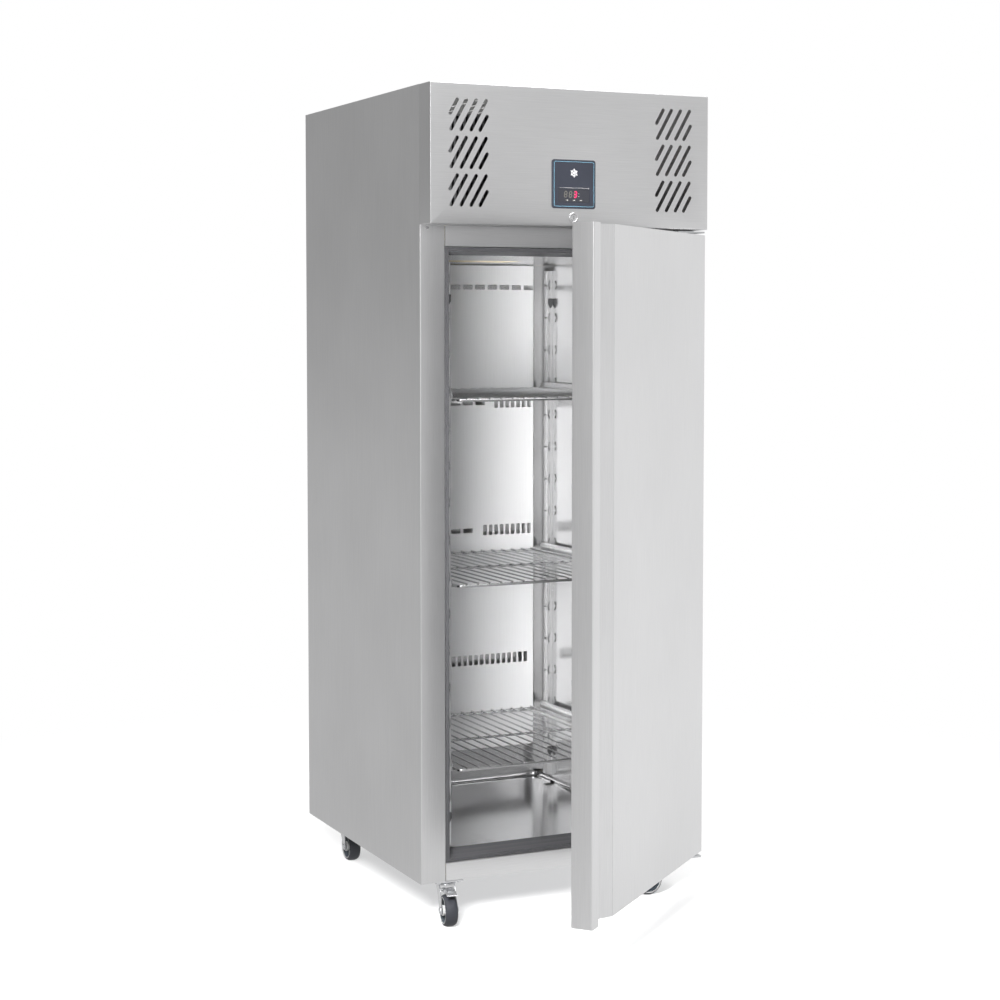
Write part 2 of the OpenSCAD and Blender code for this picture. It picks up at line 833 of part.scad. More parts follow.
// Tray in which the condensate evaporates, beside the compressor
module condensate_tray() {
    color("gainsboro")
        difference() {
            box([evap_x1 + 8, pan_y[0], unit_floor], [pan_x1, pan_y[1], unit_floor + pan_h]);
            box([evap_x1 + 8 + sheet, pan_y[0] + sheet, unit_floor + sheet],
                [pan_x1 - sheet, pan_y[1] - sheet, unit_floor + pan_h + 1]);
        }
}

module cable_gland() {
    color("black")
        translate([gland_x, back_y - sheet - seam, gland_z])
            rotate([90, 0, 0])
                difference() {
                    union() {
                        cylinder(r = gland_r + 5, h = 10, $fn = 6);
                        translate([0, 0, -sheet])
                            cylinder(r = gland_r - fit, h = 2*sheet);
                    }
                    translate([0, 0, -2*sheet])
                        cylinder(r = gland_r/2, h = 20);
                }
}

// Control panel: bezel, window and three buttons
module control_bezel() {
    color("darkslategray")
        difference() {
            union() {
                translate([0, front_y - touch, bezel_z])
                    rotate([90, 0, 0])
                        linear_extrude(bezel_t)
                            rounded_rect(bezel_w, bezel_h, bezel_r);
                box([-bezel_w/2 + bezel_edge, front_y - fit, bezel_z - bezel_h/2 + bezel_edge],
                    [bezel_w/2 - bezel_edge, front_y + 8, bezel_z + bezel_h/2 - bezel_edge]);
            }
            box([-window_w/2, front_y - bezel_t - 1, window_z - window_h/2],
                [window_w/2, front_y - 0.6, window_z + window_h/2]);
        }
}
module display_window() {
    hole_w = button_w + 2*slide_fit;
    hole_h = button_h + 2*slide_fit;
    color("black")
        difference() {
            box([-window_w/2 + seam, window_y, window_z - window_h/2 + seam],
                [window_w/2 - seam, window_y + window_t, window_z + window_h/2 - seam]);
            for (i = [-1:1])
                box([i*button_x - hole_w/2, window_y - 1, button_z - hole_h/2],
                    [i*button_x + hole_w/2, window_y + 2, button_z + hole_h/2]);
        }
}
module button(i) {
    color("gray")
        box([i*button_x - button_w/2, window_y - button_travel, button_z - button_h/2],
            [i*button_x + button_w/2, window_y + window_t, button_z + button_h/2]);
}
module button_left() {
    button(-1);
}
module button_middle() {
    button(0);
}
module button_right() {
    button(1);
}

// Lock: a fixed body through the fascia, and a barrel whose cam drops into the top of the door
module lock_body() {
    color("silver")
        translate([0, front_y, lock_z])
            rotate([-90, 0, 0])
                difference() {
                    union() {
                        translate([0, 0, -lock_flange_t])
                            cylinder(r = lock_r + 1.5, h = lock_flange_t - touch);
                        translate([0, 0, -1])
                            cylinder(r = lock_r, h = lock_l + 1);
                    }
                    translate([0, 0, -4])
                        cylinder(r = barrel_r + run_fit, h = 24);
                }
}
module lock_barrel() {
    color("silver")
        translate([0, front_y, lock_z]) {
            rotate([-90, 0, 0])
                difference() {
                    translate([0, 0, -2])
                        cylinder(r = barrel_r, h = 21);
                    translate([-3, -1, -3])
                        cube([6, 2, 8]);
                }
            box([-cam_reach, cam_y - front_y, -cam_w/2], [0, cam_y - front_y + cam_t, cam_w/2]);
            translate([0, cam_y - front_y, 0])
                rotate([-90, 0, 0])
                    cylinder(r = barrel_r + 2, h = cam_t);
        }
}

// Door pieces are drawn shut and then swung open about the hinge
module at_door() {
    translate([hinge_x, hinge_y, 0])
        rotate([0, 0, door_rest])
            translate([-hinge_x, -hinge_y, 0])
                children();
}
module door_pin_holes(r) {
    translate([hinge_x, hinge_y, door_z0 - 1])
        cylinder(r = r, h = bush_h + 1 + seam);
    translate([hinge_x, hinge_y, door_z1 - bush_h - seam])
        cylinder(r = r, h = bush_h + 1 + seam);
}
module strike_slot(grow) {
    box([-26 - grow, cam_y - 3 - grow, door_z1 - 10 - grow],
        [cam_w/2 + 3 + grow, cam_y + cam_t + 3 + grow, door_z1 + 1]);
}

// Outer skin of the door, from the handle channel to the hinged edge
module door_skin() {
    color("silver")
        at_door()
            difference() {
                translate([0, 0, door_z0])
                    linear_extrude(door_z1 - door_z0)
                        polygon([
                            [channel_x + seam, front_y], [door_x1, front_y],
                            [door_x1, door_y1 - sheet - corner_cut],
                            [door_x1 - corner_cut, door_y1 - sheet], [channel_x + seam, door_y1 - sheet]
                        ]);
                translate([0, 0, door_z0 + sheet])
                    linear_extrude(door_z1 - door_z0 - 2*sheet)
                        polygon([
                            [channel_x, front_y + sheet], [door_x1 - sheet, front_y + sheet],
                            [door_x1 - sheet, door_y1 - 2*sheet - corner_cut],
                            [door_x1 - 2*sheet - corner_cut, door_y1], [channel_x, door_y1]
                        ]);
                door_pin_holes(bush_r + fit);
                strike_slot(0);
            }
}

// Full-height handle: a lip to pull and a recess behind it
module channel_outline(t) {
    polygon([
        [door_x0 + t, front_y + t], [door_x0 + lip_w - t, front_y + t],
        [door_x0 + lip_w - t, front_y + recess_d + t],
        [recess_floor + 0.3*t, front_y + recess_d + t], [channel_x, front_y + 1.2*t],
        [channel_x, door_y1 - sheet + (t > 0 ? 1 : 0)], [door_x0 + t, door_y1 - sheet + (t > 0 ? 1 : 0)]
    ]);
}
module door_handle_channel() {
    color("silver")
        at_door()
            difference() {
                translate([0, 0, door_z0])
                    linear_extrude(door_z1 - door_z0)
                        channel_outline(0);
                translate([0, 0, door_z0 + sheet])
                    linear_extrude(door_z1 - door_z0 - 2*sheet)
                        union() {
                            channel_outline(sheet);
                            translate([channel_x - 1, front_y + 1.2*sheet])
                                square([2, door_t]);
                        }
            }
}
module door_foam() {
    color("khaki")
        at_door()
            difference() {
                translate([0, 0, door_z0 + sheet + fit])
                    linear_extrude(door_z1 - door_z0 - 2*sheet - 2*fit)
                        polygon([
                            [door_x0 + sheet + fit, front_y + recess_d + sheet + fit],
                            [recess_floor + 2, front_y + recess_d + sheet + fit],
                            [channel_x + 4, front_y + sheet + fit],
                            [door_x1 - sheet - fit, front_y + sheet + fit],
                            [door_x1 - sheet - fit, door_y1 - 2*sheet - fit - corner_cut],
                            [door_x1 - 2*sheet - fit - corner_cut, door_y1 - sheet - fit],
                            [door_x0 + sheet + fit, door_y1 - sheet - fit]
                        ]);
                door_pin_holes(bush_r + fit);
                strike_slot(1);
            }
}

// Inner pan of the door: a flat rim that carries the gasket and a raised centre
module door_inner_pan() {
    half = gasket_half - 14;
    tall = open_top - open_bottom - 12;
    color("lightgray")
        at_door() {
            box([door_x0 + fit, door_y1 - sheet + touch, door_z0 + fit],
                [door_x1 - corner_cut - 2*fit, door_y1, door_z1 - fit]);
            translate([0, door_y1, (open_bottom + open_top)/2])
                rotate([-90, 0, 0])
                    difference() {
                        linear_extrude(pan_rise)
                            rounded_rect(2*half, tall, pan_corner);
                        translate([0, 0, -1])
                            linear_extrude(pan_rise + 1 - sheet)
                                rounded_rect(2*half - 2*sheet, tall - 2*sheet, pan_corner - sheet);
                    }
        }
}

// Magnetic gasket, a hollow frame on the inner face of the door
module door_gasket() {
    lo = open_bottom - 12;
    hi = open_top + 12;
    color("dimgray")
        at_door()
            difference() {
                box([-gasket_half - gasket_w, door_y1 + touch, lo - gasket_w],
                    [gasket_half + gasket_w, door_y1 + gasket_t, hi + gasket_w]);
                box([-gasket_half, door_y1 - 1, lo], [gasket_half, seat_y, hi]);
            }
}

module door_bushes() {
    color("white")
        at_door()
            for (z = [door_z0, door_z1 - bush_h])
                translate([hinge_x, hinge_y, z])
                    difference() {
                        cylinder(r = bush_r, h = bush_h);
                        translate([0, 0, -1])
                            cylinder(r = hinge_pin_r + run_fit, h = bush_h + 2);
                    }
}

// Hinge brackets: a plate under the fascia and one under the cabinet, each with its pin and thrust washer
module hinge_brackets() {
    top_z = deck_z - 8;
    x0 = hinge_x - 18;
    x1 = half_w - 3;
    color("silver") {
        box([half_w - 77, front_y + 8, top_z], [x1, seat_y - fit, top_z + 4]);
        box([half_w - 77, seat_y - 3, top_z], [x1, seat_y - fit, deck_z - fit]);
        for (x = [half_w - 64, half_w - 50])
            translate([x, seat_y - 16, top_z - 2.5])
                cylinder(r = 4.5, h = 3);
        translate([hinge_x, hinge_y, door_z1 - bush_h + 2])
            cylinder(r = hinge_pin_r, h = top_z - door_z1 + bush_h - 1);
        box([x0, front_y + 8, base_z - 4], [x1, seat_y - 2, base_z]);
        box([half_w - 35, seat_y - 3, base_z - 4], [x1, seat_y + 60, base_z]);
        translate([hinge_x, hinge_y, base_z - 1])
            cylinder(r = hinge_pin_r, h = door_z0 - base_z + bush_h - 1);
        translate([hinge_x, hinge_y, base_z - 1])
            cylinder(r = hinge_pin_r + 4, h = door_z0 - base_z + 1 - fit);
    }
}

// Castors
module at_castor(i) {
    translate([castor_pos[i][0], castor_pos[i][1], 0])
        rotate([0, 0, castor_turn[i]])
            children();
}
module castor_plates() {
    color("silver")
        for (p = castor_pos)
            translate([p[0], p[1], 0]) {
                box([-34, -29, castor_h - plate_t], [34, 29, castor_h - touch]);
                translate([0, 0, castor_h - plate_t - race_h])
                    cylinder(r = 21, h = race_h);
                translate([0, 0, crown_z - crown_t - 1])
                    cylinder(r = king_r, h = castor_h - plate_t - crown_z + crown_t + 1);
                translate([0, 0, crown_z - crown_t - 4 - fit])
                    cylinder(r = king_r + 3, h = 4);
            }
}
module castor_fork(i) {
    leg_top = crown_z - crown_t;
    color("silver")
        at_castor(i) {
            difference() {
                translate([0, 0, leg_top])
                    cylinder(r = 26, h = crown_t);
                translate([0, 0, leg_top - 1])
                    cylinder(r = king_r + run_fit, h = crown_t + 2);
            }
            for (s = [-1, 1])
                mirror([0, s < 0 ? 1 : 0, 0])
                    translate([0, leg_in, 0])
                        rotate([90, 0, 0])
                            translate([0, 0, -leg_t]) {
                                linear_extrude(leg_t)
                                    polygon([
                                        [-17, leg_top + 2], [17, leg_top + 2], [30, leg_top - 12],
                                        [trail + 10, wheel_r + 2], [trail + 6, wheel_r - 8],
                                        [trail - 8, wheel_r - 7]
                                    ]);
                                translate([trail, wheel_r, 0])
                                    cylinder(r = 11, h = leg_t);
                            }
            translate([trail, 0, wheel_r])
                rotate([90, 0, 0]) {
                    cylinder(r = axle_r, h = 2*(leg_in + leg_t) + 2, center = true);
                    for (s = [-1, 1])
                        translate([0, 0, s*(leg_in + leg_t + 2)])
                            cylinder(r = 7, h = 4, center = true, $fn = 6);
                }
            if (i < 2)
                translate([20, 0, leg_top - 9])
                    rotate([90, 0, 0])
                        cylinder(r = 2.5, h = 2*leg_in + leg_t, center = true);
        }
}
module castor_wheel(i) {
    rim_r = wheel_r - tyre_t;
    color("gray")
        at_castor(i)
            translate([trail, 0, wheel_r])
                rotate([90, 0, 0])
                    rotate_extrude()
                        polygon([
                            [axle_r + run_fit, -leg_in + seam], [10, -leg_in + seam],
                            [10, -5], [rim_r - 4, -4],
                            [rim_r - 4, -wheel_w/2 + 2], [rim_r, -wheel_w/2 + 2], [rim_r, wheel_w/2 - 2],
                            [rim_r - 4, wheel_w/2 - 2], [rim_r - 4, 4], [10, 5], [10, leg_in - seam],
                            [axle_r + run_fit, leg_in - seam]
                        ]);
}
module castor_tyre(i) {
    inner_r = wheel_r - tyre_t + 0.02;
    color("black")
        at_castor(i)
            translate([trail, 0, wheel_r])
                rotate([90, 0, 0])
                    rotate_extrude()
                        polygon([
                            [inner_r, -wheel_w/2], [wheel_r - 3, -wheel_w/2],
                            [wheel_r - 0.6, -wheel_w/2 + 3], [wheel_r, -wheel_w/2 + 7],
                            [wheel_r, wheel_w/2 - 7], [wheel_r - 0.6, wheel_w/2 - 3],
                            [wheel_r - 3, wheel_w/2], [inner_r, wheel_w/2]
                        ]);
}
module castor_fl_fork() {
    castor_fork(0);
}
module castor_fr_fork() {
    castor_fork(1);
}
module castor_rl_fork() {
    castor_fork(2);
}
module castor_rr_fork() {
    castor_fork(3);
}
module castor_fl_wheel() {
    castor_wheel(0);
}
module castor_fr_wheel() {
    castor_wheel(1);
}
module castor_rl_wheel() {
    castor_wheel(2);
}
module castor_rr_wheel() {
    castor_wheel(3);
}
module castor_fl_tyre() {
    castor_tyre(0);
}
module castor_fr_tyre() {
    castor_tyre(1);
}
module castor_rl_tyre() {
    castor_tyre(2);
}
module castor_rr_tyre() {
    castor_tyre(3);
}

// Brake pedal of a front castor: a pressed lever on a cross pin, with a shoe over the tyre
module castor_brake(i) {
    pivot_z = crown_z - crown_t - 9;
    color("silver")
        at_castor(i) {
            difference() {
                union() {
                    box([16, -13, pivot_z - 4.5], [26, 13, pivot_z + 4.5]);
                    box([25, -13, pivot_z + 1.5], [50, 13, pivot_z + 4]);
                    translate([50, -13, pivot_z + 1.5])
                        rotate([0, 14, 0])
                            cube([22, 26, 2.5]);
                    box([34, -10, pivot_z - 1], [40, 10, pivot_z + 2]);
                }
                translate([20, 0, pivot_z])
                    rotate([90, 0, 0])
                        cylinder(r = 2.5 + run_fit, h = 40, center = true);
            }
        }
}
module castor_fl_brake() {
    castor_brake(0);
}
module castor_fr_brake() {
    castor_brake(1);
}

side_panel_left();
side_panel_right();
rear_panel();
underside_panel();
face_frame();
insulation_foam();
inner_liner();
base_tray();
breaker_frame();
duct_panel();
racking_uprights();
upright_clips();
tray_slides();
wire_shelf_top();
wire_shelf_middle();
wire_shelf_bottom();
unit_deck();
fascia_panel();
top_cover();
rear_grille();
compressor();
condenser_coil();
condenser_fan_shroud();
condenser_fan_blade();
evaporator_case();
evaporator_coil();
evaporator_fan_blade();
pipework();
electrical_box();
condensate_tray();
cable_gland();
control_bezel();
display_window();
button_left();
button_middle();
button_right();
lock_body();
lock_barrel();
door_skin();
door_handle_channel();
door_foam();
door_inner_pan();
door_gasket();
door_bushes();
hinge_brackets();
castor_plates();
castor_fl_fork();
castor_fr_fork();
castor_rl_fork();
castor_rr_fork();
castor_fl_wheel();
castor_fr_wheel();
castor_rl_wheel();
castor_rr_wheel();
castor_fl_tyre();
castor_fr_tyre();
castor_rl_tyre();
castor_rr_tyre();
castor_fl_brake();
castor_fr_brake();
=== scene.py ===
"""Upright reach-in refrigerator: satin steel cabinet, one swung door, unit compartment on top, four castors."""
import json
import math

import bmesh
import bpy
import numpy as np
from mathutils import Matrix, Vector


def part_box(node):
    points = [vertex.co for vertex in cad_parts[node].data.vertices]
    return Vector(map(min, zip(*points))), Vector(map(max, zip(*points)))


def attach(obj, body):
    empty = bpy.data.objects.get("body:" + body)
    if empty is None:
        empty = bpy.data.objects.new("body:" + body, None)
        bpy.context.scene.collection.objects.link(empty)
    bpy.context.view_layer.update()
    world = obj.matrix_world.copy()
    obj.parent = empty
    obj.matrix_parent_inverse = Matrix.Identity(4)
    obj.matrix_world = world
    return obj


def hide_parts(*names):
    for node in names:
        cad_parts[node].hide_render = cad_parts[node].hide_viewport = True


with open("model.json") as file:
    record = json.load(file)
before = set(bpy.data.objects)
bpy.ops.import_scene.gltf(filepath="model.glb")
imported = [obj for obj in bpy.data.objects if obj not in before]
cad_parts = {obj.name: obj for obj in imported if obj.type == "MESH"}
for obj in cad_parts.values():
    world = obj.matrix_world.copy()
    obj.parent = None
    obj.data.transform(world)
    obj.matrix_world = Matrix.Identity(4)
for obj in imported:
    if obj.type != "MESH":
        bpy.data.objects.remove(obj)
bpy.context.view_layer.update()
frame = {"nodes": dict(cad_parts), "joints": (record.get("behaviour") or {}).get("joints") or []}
nodes, joints = frame["nodes"], {j["name"]: j for j in frame["joints"]}


# ---------------------------------------------------------------- studio
# A pale floor under a white surround, which is brightest to the right and darkest behind the left side, so
# that each steel face has its own even tone. A large soft light hangs overhead, a weak one fills in from the
# front, and two small ones reach inside: one at the open door and one behind the air slots.
scene = bpy.context.scene
scene.view_settings.view_transform = "Standard"
scene.view_settings.look = "None"

EYE, LOOK_DOWN, LOOK_RIGHT = (-2.173, -4.601, 1.412), math.radians(3.3), math.radians(25.33)
lens = bpy.data.cameras.new("camera")
lens.sensor_width, lens.lens, lens.shift_y = 36, 72.2, -0.06
lens.clip_start, lens.clip_end = 0.1, 60
camera = bpy.data.objects.new("camera", lens)
scene.collection.objects.link(camera)
camera.location = EYE
camera.rotation_euler = (math.pi / 2 - LOOK_DOWN, 0, -LOOK_RIGHT)
scene.camera = camera


def wire_up(tree, kind, **settings):
    """Adds a node to a tree and sets it. A key with a leading capital is an input socket, I0, I1 and so on are
    inputs by number, and any other key is an attribute. A value that is a socket is linked to the input."""
    made = tree.nodes.new(kind)
    for key, value in settings.items():
        if key[0].islower():
            setattr(made, key, value)
            continue
        name = key.replace("_", " ")
        socket = made.inputs[int(name[1:])] if name[0] == "I" and name[1:].isdigit() else made.inputs[name]
        if isinstance(value, bpy.types.NodeSocket):
            tree.links.new(value, socket)
        else:
            socket.default_value = value
    return made


def lobe(tree, direction, towards, width, height):
    """A soft patch of the surround: height times the smoothstep of the cosine between direction and towards."""
    facing = wire_up(tree, "ShaderNodeVectorMath", operation="DOT_PRODUCT", I0=direction, I1=towards)
    return wire_up(tree, "ShaderNodeMapRange", interpolation_type="SMOOTHSTEP", Value=facing.outputs["Value"],
                   From_Min=1 - width, From_Max=1.0, To_Min=0.0, To_Max=height).outputs["Result"]


world = bpy.data.worlds.new("surround")
scene.world = world
world.use_nodes = True
sky = world.node_tree
sky.nodes.clear()
way = wire_up(sky, "ShaderNodeTexCoord").outputs["Generated"]
level = 0.86
for towards, width, height in (((0.96, 0.27, 0.0), 0.9, 0.2), ((-0.60, 0.8, 0.05), 0.65, -0.45),
                               ((0.43, -0.9, 0.1), 0.4, -0.1), ((-0.96, -0.27, 0.1), 0.45, -0.42),
                               ((0.0, 0.0, 1.0), 0.6, 0.35)):
    patch = lobe(sky, way, towards, width, height)
    level = wire_up(sky, "ShaderNodeMath", operation="ADD", I0=level, I1=patch).outputs[0]
seen = wire_up(sky, "ShaderNodeLightPath").outputs["Is Camera Ray"]
soft = wire_up(sky, "ShaderNodeBackground", Strength=level)
plain = wire_up(sky, "ShaderNodeBackground", Color=(1, 1, 1, 1), Strength=1.0)
either = wire_up(sky, "ShaderNodeMixShader", I0=seen, I1=soft.outputs[0], I2=plain.outputs[0])
wire_up(sky, "ShaderNodeOutputWorld", Surface=either.outputs[0])

for name, spot, aim, size, watts, mirrored in (
        ("overhead", (-0.3, -0.8, 4.6), (0, 0, 0), 4.5, 190, True),
        ("front_fill", (-1.9, -3.4, 2.6), (-0.1, 0, 1.1), 1.6, 22, True),
        ("mouth", (-1.05, -1.35, 1.0), (0.1, 0.3, 0.95), 0.6, 110, False),
        ("behind_slots", (0, -0.385, 1.80), (0, 1, 1.80), 0.55, 0.35, False)):
    panel = bpy.data.lights.new(name, "AREA")
    panel.shape, panel.size, panel.energy = "DISK", size, watts
    lamp = bpy.data.objects.new(name, panel)
    scene.collection.objects.link(lamp)
    lamp.location = spot
    lamp.visible_glossy = mirrored
    lamp.rotation_euler = (Vector(aim) - Vector(spot)).to_track_quat("-Z", "Y").to_euler()

FLOOR_REACH = 30.0
floor_corners = [(sx * FLOOR_REACH, sy * FLOOR_REACH, 0) for sx, sy in ((-1, -1), (1, -1), (1, 1), (-1, 1))]
floor_mesh = bpy.data.meshes.new("floor")
floor_mesh.from_pydata(floor_corners, [], [(0, 1, 2, 3)])
floor = bpy.data.objects.new("floor", floor_mesh)
scene.collection.objects.link(floor)
paint = bpy.data.materials.new("floor_paint")
paint.use_nodes = True
tree = paint.node_tree
tree.nodes.clear()
spot = wire_up(tree, "ShaderNodeNewGeometry").outputs["Position"]
away = wire_up(tree, "ShaderNodeVectorMath", operation="LENGTH", I0=spot).outputs["Value"]
far = wire_up(tree, "ShaderNodeMapRange", interpolation_type="SMOOTHSTEP", Value=away,
              From_Min=0.9, From_Max=2.4, To_Min=0.42)
side = wire_up(tree, "ShaderNodeVectorMath", operation="DOT_PRODUCT", I0=spot, I1=(0.75, -0.65, 0))
tone = wire_up(tree, "ShaderNodeMapRange", interpolation_type="SMOOTHSTEP", Value=side.outputs["Value"],
               From_Min=-1.0, From_Max=1.2, To_Min=0.57, To_Max=0.92)
matt = wire_up(tree, "ShaderNodeBsdfDiffuse", Color=(0.95, 0.95, 0.95, 1))
white = wire_up(tree, "ShaderNodeEmission", Color=(1, 1, 1, 1), Strength=1.0)
near_far = wire_up(tree, "ShaderNodeMixShader", I0=far.outputs[0], I1=matt.outputs[0], I2=white.outputs[0])
in_steel = wire_up(tree, "ShaderNodeEmission", Color=(1, 1, 1, 1), Strength=tone.outputs[0])
direct = wire_up(tree, "ShaderNodeLightPath").outputs["Is Camera Ray"]
floor_look = wire_up(tree, "ShaderNodeMixShader", I0=direct, I1=in_steel.outputs[0], I2=near_far.outputs[0])
wire_up(tree, "ShaderNodeOutputMaterial", Surface=floor_look.outputs[0])
floor_mesh.materials.append(paint)


# ---------------------------------------------------------------- steel finishes
# All the sheet metal is stainless or zinc-coated steel. The case is satin, ground with a fine belt, and the
# lining is left bright as rolled. Both carry the belt's streaks, a faint cloudiness and a few handling smears.
def group(name, inputs, outputs):
    """An empty shader node group with the given sockets: name to (type, default) going in, names coming out."""
    made = bpy.data.node_groups.new(name, "ShaderNodeTree")
    for key, (kind, value) in inputs.items():
        socket = made.interface.new_socket(key, in_out="INPUT", socket_type=kind)
        if kind == "NodeSocketFloat":
            socket.default_value = value
    for key in outputs:
        made.interface.new_socket(key, in_out="OUTPUT", socket_type="NodeSocketFloat")
    return made, made.nodes.new("NodeGroupInput").outputs, made.nodes.new("NodeGroupOutput").inputs


belt, given, taken = group("belt_streaks",
                           {"Vector": ("NodeSocketVector", 0), "Fineness": ("NodeSocketFloat", 1.0)},
                           ("Streaks", "Clouds", "Smears"))
long_grain = wire_up(belt, "ShaderNodeVectorMath", operation="MULTIPLY", I0=given["Vector"],
                     I1=(1.0, 1.0, 0.012))
size = wire_up(belt, "ShaderNodeMath", operation="MULTIPLY", I0=given["Fineness"], I1=900.0)
fine = wire_up(belt, "ShaderNodeTexNoise", Vector=long_grain.outputs[0], Scale=size.outputs[0],
               Detail=4.0, Roughness=0.7)
cloud = wire_up(belt, "ShaderNodeTexNoise", Vector=given["Vector"], Scale=3.1, Detail=2.0, Roughness=0.5)
smear = wire_up(belt, "ShaderNodeTexNoise", Vector=given["Vector"], Scale=9.0,
                Detail=5.0, Roughness=0.62, Distortion=0.6)
marks = wire_up(belt, "ShaderNodeMapRange", interpolation_type="SMOOTHSTEP", Value=smear.outputs[0],
                From_Min=0.56, From_Max=0.78)
for key, source in (("Streaks", fine.outputs[0]), ("Clouds", cloud.outputs[0]), ("Smears", marks.outputs[0])):
    belt.links.new(source, taken[key])

GRAIN_TURN = {"up": (0, 0, 0), "across": (0, math.pi / 2, 0), "deep": (math.pi / 2, 0, 0)}


def steel(name, colour, rough, grain="up", streak=0.05, smear=0.04, cloud=0.03, bump=0.02, fineness=1.0,
          turn=0.0, metal=1.0):
    """Sheet steel. Streaks along the grain and clouds shift the tone a little, smears raise the roughness, and
    the streaks stand up a few microns. grain is the way the belt ran, turn swings the pattern with the open
    door, and metal below 1 lets some of the light scatter."""
    made = bpy.data.materials.new(name)
    made.use_nodes = True
    tree = made.node_tree
    skin = tree.nodes["Principled BSDF"]
    skin.inputs["Metallic"].default_value = metal
    place = wire_up(tree, "ShaderNodeMapping", Vector=wire_up(tree, "ShaderNodeTexCoord").outputs["Object"],
                    Rotation=(GRAIN_TURN[grain][0], GRAIN_TURN[grain][1], turn))
    worn = wire_up(tree, "ShaderNodeGroup", node_tree=belt)
    worn.inputs["Fineness"].default_value = fineness
    tree.links.new(place.outputs[0], worn.inputs["Vector"])
    streaks = wire_up(tree, "ShaderNodeMapRange", Value=worn.outputs["Streaks"], From_Min=0.3, From_Max=0.7,
                      To_Min=1 - streak, To_Max=1 + streak)
    clouds = wire_up(tree, "ShaderNodeMapRange", Value=worn.outputs["Clouds"], From_Min=0.3, From_Max=0.7,
                     To_Min=1 - cloud, To_Max=1 + cloud)
    tone = wire_up(tree, "ShaderNodeMath", operation="MULTIPLY", I0=streaks.outputs[0], I1=clouds.outputs[0])
    shade = wire_up(tree, "ShaderNodeVectorMath", operation="SCALE", I0=colour, Scale=tone.outputs[0])
    tree.links.new(shade.outputs[0], skin.inputs["Base Color"])
    dull = wire_up(tree, "ShaderNodeMath", operation="MULTIPLY_ADD", I0=worn.outputs["Smears"], I1=smear,
                   I2=rough)
    uneven = wire_up(tree, "ShaderNodeMath", operation="MULTIPLY_ADD", I0=worn.outputs["Streaks"], I1=0.08,
                     I2=dull.outputs[0])
    tree.links.new(uneven.outputs[0], skin.inputs["Roughness"])
    ridges = wire_up(tree, "ShaderNodeBump", Height=worn.outputs["Streaks"], Strength=bump, Distance=0.0004)
    tree.links.new(ridges.outputs[0], skin.inputs["Normal"])
    return made


case_steel = steel("case_steel", (0.76, 0.76, 0.765), 0.33)
# case_steel_across_painted_lighter is the case steel grained across and painted lighter, for the header and sill:
# painted light that offsets the shade under the fascia's overhang.
case_steel_across_painted_lighter = steel("case_steel_across_painted_lighter", (0.82, 0.82, 0.825), 0.33, grain="across")
# fascia_steel_painted_darker is the case steel painted darker, for the fascia: painted shade standing in for the
# dimmer light that face reflects.
fascia_steel_painted_darker = steel("fascia_steel_painted_darker", (0.70, 0.70, 0.705), 0.33, grain="across")
bright_steel = steel("bright_steel", (0.84, 0.84, 0.845), 0.16, streak=0.02, bump=0.008, smear=0.08)
zinc_sheet = steel("zinc_sheet", (0.66, 0.67, 0.69), 0.36, streak=0.02, cloud=0.09, bump=0.01, fineness=0.3)


# ---------------------------------------------------------------- side panels
# Each side is one sheet of satin steel. It is folded round the front corner to make the door post, and folded
# again into the opening. Above the deck only the flat side goes on up, behind the fascia.
def rounded_line(corners, radius, steps=6):
    """A line of corners in a plane, each inner corner P turned into an arc. With unit ways a in and b out and
    half the turn h, the arc starts at P - a r tan h. Its points are start + r (a sin t + n (1 - cos t)), where
    t runs from 0 to 2h."""
    corners = [np.asarray(p, float) for p in corners]
    line = [corners[:1]]
    for before, here, after in zip(corners, corners[1:], corners[2:]):
        a = (here - before) / np.linalg.norm(here - before)
        b = (after - here) / np.linalg.norm(after - here)
        cross = a[0] * b[1] - a[1] * b[0]
        turned = math.atan2(abs(cross), a @ b)
        if turned < 1e-3:
            continue
        n = np.array([-a[1], a[0]]) * np.sign(cross)
        t = np.linspace(0, turned, steps + 1)[:, None]
        line.append(here - a * radius * math.tan(turned / 2) + radius * (a * np.sin(t) + n * (1 - np.cos(t))))
    line.append(corners[-1:])
    return np.vstack(line)


def beside(line, distance):
    """The line moved sideways: each point goes along the mean m of its two segments' normals, by
    distance / |m|^2."""
    ways = np.diff(line, axis=0)
    ways /= np.linalg.norm(ways, axis=1)[:, None]
    normals = np.stack([-ways[:, 1], ways[:, 0]], axis=1)
    mean = np.vstack([normals[:1], (normals[:-1] + normals[1:]) / 2, normals[-1:]])
    return line + mean * (distance / (mean ** 2).sum(axis=1))[:, None]


def sheet_loop(corners, radius, thick):
    """The outline of a folded sheet: its centre line with rounded folds, thickened half to each side."""
    line = rounded_line(corners, radius)
    return np.vstack([beside(line, thick / 2), beside(line, -thick / 2)[::-1]])


def run(loop, start, end, axis="z"):
    """A closed plane outline carried in a straight line along an axis, with both ends filled.
    The outline's two numbers are (x, y) for z, (y, z) for x and (x, z) for y."""
    loop = np.asarray(loop, float)
    n = len(loop)
    order = {"z": (0, 1, 2), "x": (1, 2, 0), "y": (0, 2, 1)}[axis]
    points = np.zeros((2 * n, 3))
    points[:, order[0]], points[:, order[1]] = np.tile(loop[:, 0], 2), np.tile(loop[:, 1], 2)
    points[:, order[2]] = np.repeat([start, end], n)
    i = np.arange(n)
    j = (i + 1) % n
    sides = np.stack([i, j, j + n, i + n], axis=1).tolist()
    return points, sides + [list(range(n))[::-1], list(range(n, 2 * n))]


def together(*parts):
    """Several (points, faces) pairs as one, each keeping its own shell."""
    points, faces, base = [], [], 0
    for p, f in parts:
        points.append(p)
        faces += [[k + base for k in face] for face in f]
        base += len(p)
    return np.vstack(points), faces


